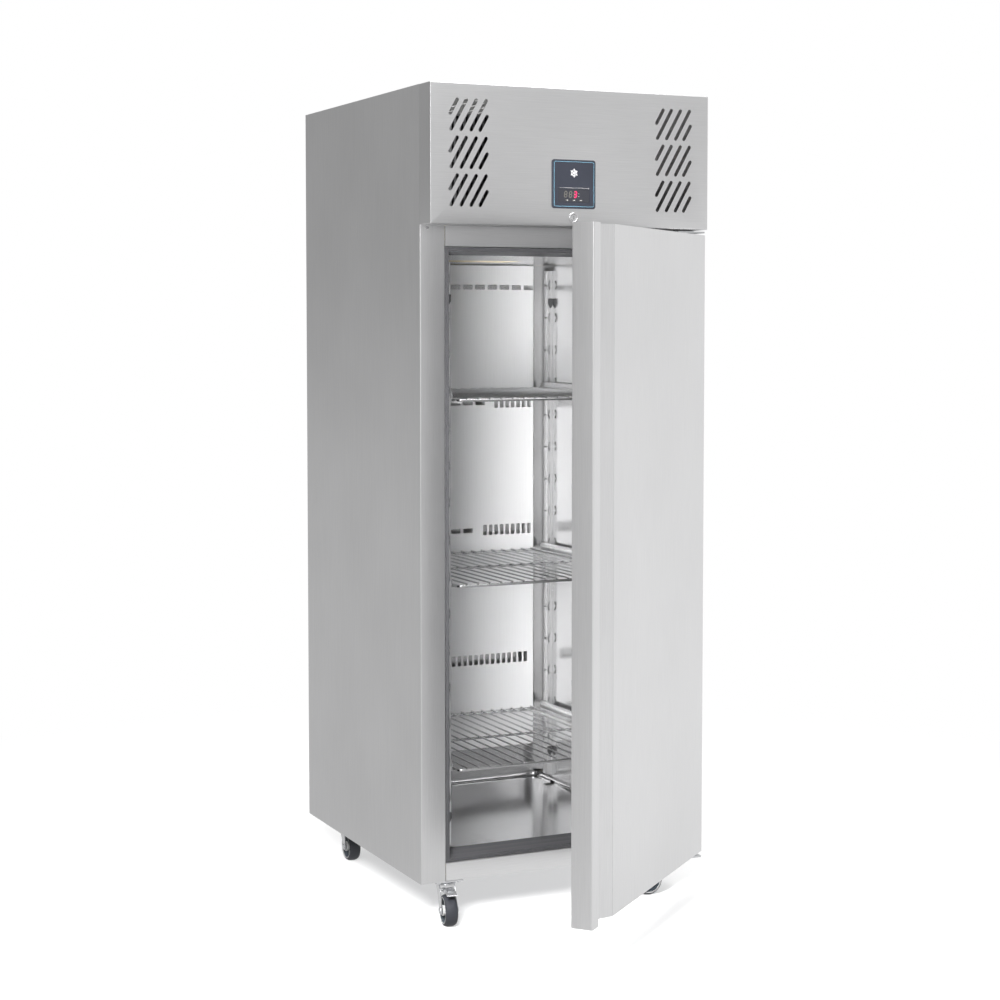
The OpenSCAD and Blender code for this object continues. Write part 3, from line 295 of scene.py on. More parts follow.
def piece(name, shape, material, body="cabinet", stands_for=(), smooth=35, bevel=0.0, segments=2):
    """Makes the object for a shape, points its faces outwards, smooths it and hangs it on its body."""
    points, faces = shape
    mesh = bpy.data.meshes.new(name)
    mesh.from_pydata(np.asarray(points, float), [], faces)
    made = bpy.data.objects.new(name, mesh)
    scene.collection.objects.link(made)
    tidy_normals(mesh)
    mesh.materials.append(material)
    finish_edges(made, smooth, bevel, segments)
    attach(made, body)
    if stands_for:
        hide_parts(*stands_for)
    return made


def tidy_normals(mesh):
    """Turns every closed shell's faces outwards."""
    work = bmesh.new()
    work.from_mesh(mesh)
    bmesh.ops.recalc_face_normals(work, faces=work.faces)
    work.to_mesh(mesh)
    work.free()


def finish_edges(made, smooth, bevel, segments=2):
    """Smooth shading below an angle in degrees, and a live bevel of the given width on the sharper edges."""
    mesh = made.data
    mesh.shade_smooth()
    mesh.set_sharp_from_angle(angle=math.radians(smooth))
    if bevel:
        eased = made.modifiers.new("eased_edges", "BEVEL")
        eased.width, eased.segments, eased.limit_method = bevel, segments, "ANGLE"
        eased.angle_limit = math.radians(smooth)
        eased.harden_normals = True


def cut(made, *tools):
    """Cuts tool shapes out of a piece: one exact Boolean, applied at once, after which the tools are gone."""
    points, faces = together(*tools)
    mesh = bpy.data.meshes.new("tool")
    mesh.from_pydata(points, [], faces)
    tidy_normals(mesh)
    tool = bpy.data.objects.new("tool", mesh)
    scene.collection.objects.link(tool)
    knife = made.modifiers.new("cut", "BOOLEAN")
    knife.operation, knife.solver, knife.object = "DIFFERENCE", "EXACT", tool
    while made.modifiers[0] != knife:
        made.modifiers.move(len(made.modifiers) - 1, 0)
    with bpy.context.temp_override(object=made, active_object=made, selected_objects=[made]):
        bpy.ops.object.modifier_apply(modifier="cut")
    bpy.data.objects.remove(tool)
    bpy.data.meshes.remove(mesh)
    made.data.shade_smooth()
    made.data.set_sharp_from_angle(angle=math.radians(35))
    return made


def block(lo, hi):
    """A plain box between two corners."""
    loop = [(lo[0], lo[1]), (hi[0], lo[1]), (hi[0], hi[1]), (lo[0], hi[1])]
    return run(loop, lo[2], hi[2])


def flip_x(shape):
    """The shape's mirror image in the cabinet's middle plane."""
    points, faces = shape
    return points * (-1, 1, 1), [face[::-1] for face in faces]


side_lo, side_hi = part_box("side_panel_left")
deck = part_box("unit_deck")[0].z
half_w, open_half = -side_lo.x, -side_hi.x
seat_y, back_y, base_z, top_z = side_lo.y, side_hi.y, side_lo.z, side_hi.z
SHEET, FOLD, RETURN = 0.0012, 0.0022, 0.012
mid = SHEET / 2
post_line = [(-half_w + mid, back_y), (-half_w + mid, seat_y + mid), (-open_half - mid, seat_y + mid),
             (-open_half - mid, seat_y + RETURN)]
left_side = together(run(sheet_loop(post_line, FOLD, SHEET), base_z, deck),
                     block((-half_w, seat_y, deck), (-half_w + SHEET, back_y, top_z)))
for label, shape in (("left", left_side), ("right", flip_x(left_side))):
    piece("cabinet_side_" + label, shape, case_steel, stands_for=["side_panel_" + label])


# ---------------------------------------------------------------- front frame
# The header and the sill are folded sheets between the posts, turned back into the opening. The sill is also
# turned back under the cabinet. Hairline joints show at the posts.
HAIRLINE = 0.0003
frame_half = open_half - 0.0002
breaker_lo, breaker_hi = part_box("breaker_frame")
open_bottom, open_top = breaker_lo.z - HAIRLINE, breaker_hi.z + HAIRLINE
header_line = [(seat_y + mid, deck - HAIRLINE), (seat_y + mid, open_top + mid),
               (seat_y + RETURN, open_top + mid)]
sill_line = [(seat_y + 0.011, base_z + mid), (seat_y + mid, base_z + mid), (seat_y + mid, open_bottom - mid),
             (seat_y + RETURN, open_bottom - mid)]
folded = [run(sheet_loop(line, FOLD, SHEET), -frame_half, frame_half, "x") for line in (header_line, sill_line)]
piece("header_and_sill", together(*folded), case_steel_across_painted_lighter, stands_for=["face_frame"])


# ---------------------------------------------------------------- fascia
# A folded tray of satin steel in front of the unit, its corners welded and ground smooth. Three rows of five
# slanted air slots are punched at each end, the outer two of each row cut short, with holes for panel and lock.
def round_rectangle(w, h, r, steps=6):
    """A rectangle with round corners about the middle, anticlockwise: a corner is centre + r (cos t, sin t)."""
    r = max(r, 1e-5)
    t = np.linspace(0, math.pi / 2, steps + 1)
    corners = ((1, 1, 0), (-1, 1, 1), (-1, -1, 2), (1, -1, 3))
    return np.vstack([np.stack([sx * (w / 2 - r) + r * np.cos(t + q * math.pi / 2),
                                sy * (h / 2 - r) + r * np.sin(t + q * math.pi / 2)], axis=1)
                      for sx, sy, q in corners])


def skin(rings, wrap=False, caps=True):
    """Quads between closed rings of equal length, in order. The two ends are filled, or wrap joins them."""
    m, n = len(rings), len(rings[0])
    i = np.arange(n)
    j = (i + 1) % n
    row = np.arange(m if wrap else m - 1)[:, None] * n
    nxt = (row + n) % (m * n)
    faces = np.stack([row + i, row + j, nxt + j, nxt + i], axis=-1).reshape(-1, 4).tolist()
    if caps and not wrap:
        faces += [list(range(n))[::-1], list(range((m - 1) * n, m * n))]
    return np.vstack(rings), faces


def front_rings(w, h, r, steps_in, middle=(0, 0)):
    """Round rectangles that face the front: one outline for each (inset, y), its corner drawn in as well."""
    rings = []
    for inset, y in steps_in:
        flat = round_rectangle(w - 2 * inset, h - 2 * inset, max(r - inset, 0.0004))
        rings.append(np.stack([flat[:, 0] + middle[0], np.full(len(flat), y), flat[:, 1] + middle[1]], axis=1))
    return rings


def eased(radius, inset, depth, facing=1, steps=5):
    """(inset, y) pairs round a quarter circle, from the side wall at the depth to the front face."""
    t = np.linspace(0, math.pi / 2, steps)
    return [(inset + radius * (1 - math.cos(a)), depth - facing * radius * math.sin(a)) for a in t]


def capsule(length, width, lean, steps=8):
    """A slot's outline: a straight-sided bar with half-round ends, leaning by an angle from upright."""
    t = np.linspace(0, math.pi, steps + 1)
    straight = length / 2 - width / 2
    top = np.stack([width / 2 * np.cos(t), straight + width / 2 * np.sin(t)], axis=1)
    outline = np.vstack([top, -top])
    turn = np.array([[math.cos(lean), -math.sin(lean)], [math.sin(lean), math.cos(lean)]])
    return outline @ turn


front_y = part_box("fascia_panel")[0].y
tray_back = seat_y - HAIRLINE
outer = [(0.0, tray_back)] + eased(0.0022, 0.0, front_y + 0.0022)
inner = [(SHEET, tray_back)] + eased(0.001, SHEET, front_y + 0.001 + SHEET)
tray_rings = front_rings(2 * half_w, top_z - deck, 0.0016, inner[::-1] + outer, (0, (top_z + deck) / 2))
fascia = piece("fascia", skin(tray_rings), fascia_steel_painted_darker, stands_for=["fascia_panel"])
VENT_W, VENT_H, VENT_PITCH, VENT_LEAN, VENT_ROW = 0.0084, 0.074, 0.025, math.radians(29.5), 0.0855
SHORT_SHARE, SHORT_SHIFT = 0.52, 0.24
vent_x, vent_top = half_w - 0.096, top_z - 0.0345
full_slot, short_slot = VENT_H / math.cos(VENT_LEAN), SHORT_SHARE * VENT_H / math.cos(VENT_LEAN)
slots = [(i * VENT_PITCH, 0.0, full_slot) for i in (-1, 0, 1)]
for end in (-1, 1):
    out = 1.5 * VENT_PITCH + 0.01 - math.tan(VENT_LEAN) * SHORT_SHIFT * VENT_H
    slots.append((end * out, -end * SHORT_SHIFT * VENT_H, short_slot))
PUNCH = 0.01
punches = []
for side_x in (-vent_x, vent_x):
    for row in range(3):
        row_z = vent_top - VENT_H / 2 - row * VENT_ROW
        for dx, dz, length in slots:
            hole = capsule(length, VENT_W, VENT_LEAN) + (side_x + dx, row_z + dz)
            punches.append(run(hole, front_y - PUNCH, front_y + PUNCH, "y"))
PANEL_HOLE_W, PANEL_HOLE_H, LOCK_HOLE_R = 0.094, 0.0935, 0.0112
bezel_lo, bezel_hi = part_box("control_bezel")
panel_mid = ((bezel_lo.x + bezel_hi.x) / 2, (bezel_lo.z + bezel_hi.z) / 2)
lock_lo, lock_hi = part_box("lock_body")
lock_z = (lock_lo.z + lock_hi.z) / 2
turn = np.linspace(0, 2 * math.pi, 33)[:-1]
circle = np.stack([np.cos(turn), np.sin(turn)], axis=1)
punches.append(run(circle * LOCK_HOLE_R + (0, lock_z), front_y - PUNCH, front_y + PUNCH, "y"))
panel_hole = round_rectangle(PANEL_HOLE_W, PANEL_HOLE_H, 0.003) + panel_mid
punches.append(run(panel_hole, front_y - PUNCH, front_y + PUNCH, "y"))
cam_lo, cam_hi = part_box("lock_barrel")
CAM_SLOT_END = 0.009
punches.append(block((cam_lo.x - 0.002, cam_hi.y - 0.0065, deck - 0.01),
                     (CAM_SLOT_END, cam_hi.y + 0.0035, deck + 0.003)))
cut(fascia, *punches)


# ---------------------------------------------------------------- top, back and underside sheets
# The lid, back panel, unit grille and underside are plain flat sheets held by screws, and the lid and grille
# are pierced for air. They keep their cut shapes. The screws are zinc-plated pan heads.
def ease_node(name, material, width=0.0004, slot=None):
    """Keeps a CAD node and gives it a finish. Given a width, it also eases its edges with a weld and a small
    bevel.
    """
    made = nodes[name]
    made.data.materials.clear()
    made.data.materials.append(material)
    if width:
        weld = made.modifiers.new("weld", "WELD")
        weld.merge_threshold = 0.00001
        soft_edge = made.modifiers.new("eased_edges", "BEVEL")
        soft_edge.width, soft_edge.segments, soft_edge.limit_method = width, 2, "ANGLE"
        soft_edge.angle_limit = math.radians(50)
        soft_edge.harden_normals = True
    return made


for name in ("rear_panel", "rear_grille", "top_cover"):
    ease_node(name, case_steel, 0)
for name in ("underside_panel", "unit_deck"):
    ease_node(name, zinc_sheet, 0)


def lathe(profile, spot, axis="z", sides=24, wrap=False):
    """A profile of (radius, height) pairs turned about an axis through a point; wrap closes it into a ring."""
    t = np.linspace(0, 2 * math.pi, sides + 1)[:-1]
    order = {"z": (0, 1, 2), "x": (1, 2, 0), "y": (0, 2, 1)}[axis]
    rings = []
    for r, h in profile:
        ring = np.zeros((sides, 3))
        ring[:, order[0]], ring[:, order[1]], ring[:, order[2]] = r * np.cos(t), r * np.sin(t), h
        rings.append(ring + spot)
    return skin(rings, wrap=wrap)


def copies(shape, spots):
    """The same shape repeated at many places, as one set of points and faces."""
    points, faces = shape
    spots = np.asarray(spots, float)
    n = len(points)
    return ((points[None] + spots[:, None]).reshape(-1, 3),
            [[k + s * n for k in face] for s in range(len(spots)) for face in faces])


def pan_head(radius, height, axis="y", facing=-1):
    """A pan-head screw on a face: a low dome with a shallow round recess in its middle."""
    t = np.linspace(0, 1, 6)
    dome = [(radius, -0.0004 * facing)]
    dome += [(radius * (1 - 0.35 * a * a), facing * height * math.sin(a * math.pi / 2)) for a in t]
    dip = [(radius * 0.34, facing * height), (radius * 0.28, facing * height * 0.45)]
    return lathe(dome + dip, (0, 0, 0), axis, 18)


screw_zinc = steel("screw_zinc", (0.74, 0.75, 0.77), 0.24, streak=0.01, bump=0.0)
HEAD_R, EDGE_IN, SUNK = 0.0045, 0.014, 0.0002
rear_z = np.linspace(base_z + 0.03, deck - 0.03, 6)
back_spots = [(sx * (half_w - EDGE_IN), back_y - SUNK, z) for sx in (-1, 1) for z in rear_z]
back_spots += [(x, back_y - SUNK, z) for x in (-0.17, 0.17) for z in (base_z + EDGE_IN, deck - 0.012)]
back_spots += [(sx * x, back_y - SUNK, z) for sx in (-1, 1) for x in (half_w - EDGE_IN, 0.02)
               for z in (deck + EDGE_IN, top_z - EDGE_IN)]
lid_spots = [(sx * (half_w - 0.016), y, top_z - SHEET) for sx in (-1, 1)
             for y in (seat_y + 0.02, 0.03, back_y - 0.03)]
piece("panel_screws", together(copies(pan_head(HEAD_R, 0.0022, "y", 1), back_spots),
                               copies(pan_head(HEAD_R, 0.0012, "z", 1), lid_spots)), screw_zinc)


# ---------------------------------------------------------------- insulation
# Cream polyurethane foam fills the space between case and lining. It is hidden but for its cut edges.
def moulded(name, colour, rough, coarse=180.0, speckle=0.04, bump=0.08, metal=0.0, coat=0.0, blotch=0.05):
    """Moulded or painted stuff: fine texture in tone and height, and slow blotches in tone and roughness."""
    made = bpy.data.materials.new(name)
    made.use_nodes = True
    tree = made.node_tree
    body = tree.nodes["Principled BSDF"]
    body.inputs["Metallic"].default_value = metal
    body.inputs["Coat Weight"].default_value = coat
    body.inputs["Coat Roughness"].default_value = 0.08
    place = wire_up(tree, "ShaderNodeTexCoord").outputs["Object"]
    grit = wire_up(tree, "ShaderNodeTexNoise", Vector=place, Scale=coarse, Detail=4.0, Roughness=0.6)
    patch = wire_up(tree, "ShaderNodeTexNoise", Vector=place, Scale=14.0, Detail=2.0)
    small = wire_up(tree, "ShaderNodeMapRange", Value=grit.outputs[0], From_Min=0.3, From_Max=0.7,
                    To_Min=1 - speckle, To_Max=1 + speckle)
    slow = wire_up(tree, "ShaderNodeMapRange", Value=patch.outputs[0], From_Min=0.3, From_Max=0.7,
                   To_Min=1 - blotch, To_Max=1 + blotch)
    tone = wire_up(tree, "ShaderNodeMath", operation="MULTIPLY", I0=small.outputs[0], I1=slow.outputs[0])
    shade = wire_up(tree, "ShaderNodeVectorMath", operation="SCALE", I0=colour, Scale=tone.outputs[0])
    tree.links.new(shade.outputs[0], body.inputs["Base Color"])
    uneven = wire_up(tree, "ShaderNodeMath", operation="MULTIPLY", I0=slow.outputs[0], I1=rough)
    tree.links.new(uneven.outputs[0], body.inputs["Roughness"])
    pits = wire_up(tree, "ShaderNodeBump", Height=grit.outputs[0], Strength=bump, Distance=0.0005)
    tree.links.new(pits.outputs[0], body.inputs["Normal"])
    return made


foam = moulded("foam", (0.83, 0.76, 0.56), 0.95, coarse=420.0, speckle=0.12, bump=0.6, blotch=0.1)
for name in ("insulation_foam", "door_foam"):
    ease_node(name, foam, 0)


# ---------------------------------------------------------------- breaker frame
# A grooved frame of grey extruded plastic joins case and lining round the opening, mitred at its corners. Its
# flat face is where the door's gasket lands and seals, and from there it slopes in to the lining.
grey_plastic = moulded("grey_plastic", (0.03, 0.03, 0.032), 0.42, coarse=300.0, speckle=0.03, bump=0.04)
in_half, in_top = -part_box("inner_liner")[0].x - 0.001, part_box("inner_liner")[1].z - 0.001
floor_lo, floor_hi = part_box("base_tray")
in_floor = floor_lo.z + 0.001
slope_side, slope_top, slope_bottom = open_half - in_half, open_top - in_top, floor_hi.z - open_bottom


def opening_ring(flat, slope, y):
    """One rectangle inside the opening: a flat inset all round, plus a share of the slope in to the lining."""
    side, top, bottom = ((1 - slope) * flat + slope * end for end in (slope_side, slope_top, slope_bottom))
    x, lo, hi = open_half - side, open_bottom + bottom, open_top - top
    return np.array([(-x, y, lo), (x, y, lo), (x, y, hi), (-x, y, hi)])


def groove(middle, deep=0.0009, wide=0.0011):
    """A groove round the flat face: four points across it, of which the middle two are sunk."""
    return [(middle - wide, 0, 0), (middle - wide / 2, 0, deep), (middle + wide / 2, 0, deep),
            (middle + wide, 0, 0)]


face_y, FACE, SLOPE_DEEP, LINE_DEEP = seat_y + HAIRLINE, 0.010, 0.0357, 0.001
profile = [(0.0003, 0, 0.0005), (0.0008, 0, 0)] + groove(0.0034) + groove(0.0078)
profile += [(0.0096, 0, 0), (FACE, 0.02, 0.0006)]
down_slope = [(0.3, 0), (0.31, LINE_DEEP), (0.33, LINE_DEEP), (0.34, 0),
              (0.66, 0), (0.67, LINE_DEEP), (0.69, LINE_DEEP), (0.70, 0), (1.0, 0)]
profile += [(FACE, s, SLOPE_DEEP * s + d) for s, d in down_slope]
profile += [(FACE - 0.001, 1.0, SLOPE_DEEP), (0.0003, 0, 0.012)]
piece("breaker_strip", skin([opening_ring(flat, s, face_y + y) for flat, s, y in profile], wrap=True),
      grey_plastic, stands_for=["breaker_frame"], smooth=20)


# ---------------------------------------------------------------- lining
# Bright rolled steel: two sides, ceiling and back, butted in the corners. The floor is one pressed tray. Its
# rim turns up in a cove and runs round the corners, so that it can be wiped clean.
ease_node("inner_liner", bright_steel, 0)
floor_steel = steel("floor_steel", (0.80, 0.80, 0.805), 0.1, grain="deep", streak=0.03, bump=0.012, smear=0.1)
floor_w, floor_d = floor_hi.x - floor_lo.x, floor_hi.y - floor_lo.y
floor_mid = (0.0, (floor_lo.y + floor_hi.y) / 2)
COVE, THIN = 0.011, 0.001


def level_rings(w, d, r, steps_in, middle):
    """Round rectangles lying level: for each (inset, height) one outline about the middle."""
    rings = []
    for inset, z in steps_in:
        flat = round_rectangle(w - 2 * inset, d - 2 * inset, max(r - inset, 0.0006), 10) + middle
        rings.append(np.column_stack([flat, np.full(len(flat), z)]))
    return rings


t = np.linspace(0, math.pi / 2, 8)
cove = [(THIN + COVE * (1 - math.sin(a)), floor_lo.z + THIN + COVE * (1 - math.cos(a))) for a in t]
under = [(inset - THIN * math.sin(a), z - THIN * math.cos(a)) for (inset, z), a in zip(cove, t)]
rim = [(THIN, floor_hi.z), (0.0, floor_hi.z)]
piece("floor_pan", skin(level_rings(floor_w, floor_d, 0.032, cove + rim + under[::-1], floor_mid)), floor_steel,
      stands_for=["base_tray"], smooth=30)


# ---------------------------------------------------------------- duct panel
# A folded panel of bright steel stands off the back wall and leads the cold air down. Its upright edges are
# rolled, and it is punched with one row of level slots and three rows that are mostly upright ones.
duct_lo, duct_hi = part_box("duct_panel")
duct_y, duct_half = duct_lo.y, duct_hi.x
# The duct's steel is a whiter, partly matt copy of the lining's bright steel: painted light that makes the duct
# read brighter than the lining walls. The mouth lamp's scattered light adds real light on top.
duct_steel_painted_light = steel("duct_steel_painted_light", (0.95, 0.95, 0.955), 0.34, streak=0.03, bump=0.02, cloud=0.02, metal=0.4)
duct_line = [(-duct_half + 0.0005, duct_hi.y), (-duct_half + 0.0005, duct_y + 0.0005),
             (duct_half - 0.0005, duct_y + 0.0005), (duct_half - 0.0005, duct_hi.y)]
duct = piece("duct_cover", run(sheet_loop(duct_line, 0.0035, 0.001), duct_lo.z, duct_hi.z), duct_steel_painted_light,
             stands_for=["duct_panel"])
SLOT_UP, SLOT_LEVEL = (0.0112, 0.028), (0.028, 0.0125)
UP_PITCH, LEVEL_PITCH = 0.01655, 0.036
DROPS = (0.0615, 0.372, 0.717, 1.07)
first = duct_half - 0.015
per_side = int(first / UP_PITCH * 0.62)
rows = [(DROPS[k], SLOT_LEVEL, -(n - 1) / 2 * LEVEL_PITCH, LEVEL_PITCH, n) for k, n in ((0, 14), (1, 6), (2, 4))]
rows.append((DROPS[3], SLOT_UP, -first, UP_PITCH, int(2 * first / UP_PITCH) + 1))
rows += [(drop, SLOT_UP, s * first, -s * UP_PITCH, count) for s in (-1, 1)
         for drop, count in ((DROPS[1], per_side - 1), (DROPS[2], per_side + 1))]
holes = []
for drop, (w, h), x0, pitch, count in rows:
    hole = round_rectangle(w, h, 0.002, 3)
    holes += [run(hole + (x0 + i * pitch, in_top - drop), duct_y - 0.006, duct_y + 0.006, "y")
              for i in range(count)]
cut(duct, *holes)


# ---------------------------------------------------------------- racking
# Four folded channels stand against the side walls. Each keyhole is a small slit in the face that a slide hooks
# into, with a forked notch beside it. A black moulded clip near each end holds the channel to the wall.
UPRIGHT_W, UPRIGHT_D, KEY_PITCH = 0.026, 0.015, 0.0874
rack_lo, rack_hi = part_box("racking_uprights")
key_top = in_top - 0.056
key_count = int((key_top - rack_lo.z - 0.03) / KEY_PITCH) + 1
upright_x = in_half - UPRIGHT_D
rack_steel = steel("rack_steel", (0.80, 0.80, 0.805), 0.24, streak=0.01, bump=0.005, metal=0.8)


def soft_polygon(corners, radius, steps=4):
    """A closed outline with every corner rounded: the rounded line through all, from an edge's middle."""
    corners = [np.asarray(c, float) for c in corners]
    start = (corners[-1] + corners[0]) / 2
    return rounded_line([start, *corners, start], radius, steps)[:-1]


SLIT_W, SLIT_H = 0.014, 0.0052
FORK_UP = [(0.0012, 0.0004), (0.0058, 0.0004), (0.0086, 0.0130), (0.0042, 0.0130)]
FORK_DOWN = [(0.0012, -0.0004), (0.0054, -0.0004), (0.0084, -0.0110), (0.0044, -0.0110)]


def keyholes(front):
    """The punches for one left-hand upright: per key a slit through the web and a forked notch in the flange."""
    shapes = []
    for i in range(key_count):
        z = key_top - i * KEY_PITCH
        slit = round_rectangle(SLIT_W, SLIT_H, 0.002, 3) + (front + 0.0112, z)
        shapes.append(run(slit, -upright_x - 0.004, -upright_x + 0.002, "x"))
        for prong in (FORK_UP, FORK_DOWN):
            notch = (-upright_x, z) - np.array(prong) * (1, -1)
            shapes.append(run(notch, front - 0.002, front + 0.003, "y"))
    return shapes


for place, front in (("front", rack_lo.y), ("rear", rack_hi.y - UPRIGHT_W)):
    back = front + UPRIGHT_W
    channel = [(-in_half + 0.0002, front + mid), (-upright_x - mid, front + mid),
               (-upright_x - mid, back - mid), (-in_half + 0.0002, back - mid)]
    shape = run(sheet_loop(channel, 0.002, SHEET), rack_lo.z, rack_hi.z)
    for label, turned in (("left", shape), ("right", flip_x(shape))):
        upright = piece("upright_%s_%s" % (place, label), turned, rack_steel,
                        stands_for=["racking_uprights"])
        cut(upright, *(s if label == "left" else flip_x(s) for s in keyholes(front)))

black_plastic = moulded("black_plastic", (0.06, 0.06, 0.062), 0.38, coarse=350.0, bump=0.03)
clip_lo, clip_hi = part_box("upright_clips")
apart = rack_hi.y - UPRIGHT_W - rack_lo.y
clip_w, clip_t, clip_h = 0.0135, clip_hi.y - clip_lo.y - apart, 0.024
clips = []
for y in (clip_lo.y, clip_lo.y + apart):
    for z in (clip_hi.z - clip_h / 2, clip_lo.z + clip_h / 2):
        spot = (-in_half + 0.0005 + clip_w / 2, z)
        shield = [(-clip_w / 2, clip_h / 2), (-clip_w / 2, -0.003), (-0.0012, -clip_h / 2 - 0.002),
                  (0.0012, -clip_h / 2 - 0.002), (clip_w / 2, -0.003), (clip_w / 2, clip_h / 2)]
        clips.append(run(soft_polygon(shield, 0.002) + spot, y, y + clip_t, "y"))
piece("rack_clips", together(*clips, *(flip_x(c) for c in clips)), black_plastic,
      stands_for=["upright_clips"])


# ---------------------------------------------------------------- tray slides
# Three pairs of folded angles hook into the keyholes. Each has an upright leaf with a pressed bead, a level
# leaf that the shelf rides on, and a small turned-down lip.
slide_lo, slide_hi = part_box("tray_slides")
SLIDE_H, SLIDE_W, LIP, GAUGE = 0.024, 0.024, 0.004, 0.001
slide_x = upright_x - 0.0012
slides = []
leaf_x, bead_x, lip_x = -slide_x + GAUGE / 2, -slide_x + 0.003, -slide_x + SLIDE_W - GAUGE / 2
for key in (3, 8, 13):
    z = key_top - key * KEY_PITCH
    leaf = [(leaf_x, z), (leaf_x, z - 0.006), (bead_x, z - 0.0085), (bead_x, z - 0.0125), (leaf_x, z - 0.015),
            (leaf_x, z - SLIDE_H - GAUGE / 2), (lip_x, z - SLIDE_H - GAUGE / 2), (lip_x, z - SLIDE_H - LIP)]
    slides.append(run(sheet_loop(leaf, 0.0014, GAUGE), slide_lo.y, slide_hi.y, "y"))
    for front in (rack_lo.y, rack_hi.y - UPRIGHT_W):
        slides.append(block((-slide_x - 0.003, front + 0.002, z - 0.001),
                            (-slide_x + 0.0005, front + 0.008, z + 0.001)))
piece("slides", together(*slides, *(flip_x(s) for s in slides)), rack_steel,
      stands_for=["tray_slides"])


# ---------------------------------------------------------------- wire shelves
# Each shelf is a bent frame of bright-plated rod with two inner cross bars. Seventeen thinner wires are welded
# on top of it, and their round ends stand just past the front and back bars.
BAR_R, WIRE_R, WIRES, BEND, MARGIN = 0.0035, 0.002, 17, 0.010, 0.020
shelf_chrome = steel("shelf_chrome", (0.66, 0.66, 0.665), 0.14, streak=0.01, bump=0.0, cloud=0.05)


def rod(radius, length, axis, sides=12):
    """A straight rod about the origin. Its ends are domes, each point radius (cos t, sin t) from their centre."""
    t = np.linspace(0, math.radians(80), 4)
    end = [(radius * math.cos(a), length / 2 - radius + radius * math.sin(a)) for a in t]
    return lathe([(r, -h) for r, h in end[::-1]] + end, (0, 0, 0), axis, sides)


def bent_rod(outline, z, radius, sides=12):
    """A rod bent to a closed level outline: a circle is carried round it, square to each point's mean way."""
    ways = np.roll(outline, -1, axis=0) - np.roll(outline, 1, axis=0)
    ways /= np.linalg.norm(ways, axis=1)[:, None]
    out = np.stack([ways[:, 1], -ways[:, 0]], axis=1)
    t = np.linspace(0, 2 * math.pi, sides + 1)[:-1]
    rings = [np.column_stack([p + radius * np.cos(t)[:, None] * n, z + radius * np.sin(t)])
             for p, n in zip(outline, out)]
    return skin(rings, wrap=True)


for level_name in ("top", "middle", "bottom"):
    node = "wire_shelf_" + level_name
    lo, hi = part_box(node)
    bar_z = lo.z + BAR_R
    half, front, back = hi.x - BAR_R, lo.y + 0.001 + BAR_R, hi.y - 0.001 - BAR_R
    frame_loop = round_rectangle(2 * half, back - front, BEND) + (0, (front + back) / 2)
    pitch = 2 * (half - MARGIN) / (WIRES - 1)
    inner_bars = copies(rod(BAR_R - 0.0005, 2 * half, "x"),
                        [(0, y, bar_z + 0.0005) for y in (back - 0.016, (front + back) / 2 + 0.008)])
    wires = copies(rod(WIRE_R, hi.y - lo.y, "y", 10),
                   [(-half + MARGIN + i * pitch, (lo.y + hi.y) / 2, bar_z + BAR_R + WIRE_R - 0.0003)
                    for i in range(WIRES)])
    shelf = together(bent_rod(frame_loop, bar_z, BAR_R), inner_bars, wires)
    piece("shelf_" + level_name + "_wires", shelf, shelf_chrome, body="shelf_" + level_name,
          stands_for=[node], smooth=50)


# ---------------------------------------------------------------- refrigeration unit
# Behind the fascia: a black hermetic compressor, a finned condenser with its fan in a pressed shroud, the
# evaporator box over the air openings, copper pipes, the electrical box and the condensate tray.
black_paint = moulded("black_paint", (0.022, 0.022, 0.024), 0.34, coarse=120.0, speckle=0.08, bump=0.12,
                      coat=0.3)
fin_metal = moulded("fin_metal", (0.72, 0.73, 0.74), 0.32, coarse=90.0, metal=1.0, bump=0.1, blotch=0.1)
case_plastic = moulded("case_plastic", (0.78, 0.78, 0.75), 0.5, coarse=200.0, bump=0.1)
blade_plastic = moulded("blade_plastic", (0.09, 0.09, 0.095), 0.4)
copper = moulded("copper", (0.80, 0.42, 0.26), 0.26, coarse=60.0, speckle=0.1, metal=1.0, bump=0.03, blotch=0.2)
for name, finish, easing in (
        ("compressor", black_paint, 0.0006), ("condenser_coil", fin_metal, 0), ("pipework", copper, 0),
        ("condenser_fan_shroud", black_paint, 0), ("evaporator_case", case_plastic, 0.0006),
        ("evaporator_coil", fin_metal, 0), ("electrical_box", grey_plastic, 0),
        ("condensate_tray", zinc_sheet, 0), ("cable_gland", black_plastic, 0.0006)):
    ease_node(name, finish, easing)


def fan(name, body, node, blades=5):
    """A moulded fan about the Y axis. Each blade's section is carried from hub to tip: it spans an arc that
    narrows outwards, is swept forward with the radius, and leans so that its two edges are a depth apart."""
    lo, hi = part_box(node)
    centre = Vector(joints[body + "_spin"]["pos_m"])
    tip, hub, depth = (hi.z - lo.z) / 2 * 0.985, (hi.z - lo.z) * 0.14, hi.y - lo.y
    bore, blade_t, middle = 0.005, 0.0016, (lo.y + hi.y) / 2
    u, v = np.linspace(0, 1, 9), np.linspace(0, 1, 13)
    hub_line = [(bore, lo.y + 0.001), (hub * 0.86, lo.y + 0.001), (hub, lo.y + 0.004), (hub, hi.y - 0.001),
                (bore, hi.y - 0.001)]
    shapes = [lathe(hub_line, (centre.x, 0, centre.z), "y", 32, wrap=True)]
    for b in range(blades):
        rings = []
        for share in u:
            r = hub * 0.97 + share * (tip - hub * 0.97)
            span = math.radians(54 - 10 * share)
            angle = b * 2 * math.pi / blades + math.radians(18) * share + span * (v - 0.5)
            y = middle + depth * 0.42 * (1 - 0.35 * share) * (1 - 2 * v)
            face = np.stack([centre.x + r * np.cos(angle), y, centre.z + r * np.sin(angle)], axis=1)
            rings.append(np.vstack([face, face[::-1] + (0, blade_t, 0)]))
        shapes.append(skin(rings))
    piece(name, together(*shapes), blade_plastic, body=body, stands_for=[node], smooth=40)


fan("condenser_fan_rotor", "condenser_fan", "condenser_fan_blade")
fan("evaporator_fan_rotor", "evaporator_fan", "evaporator_fan_blade")
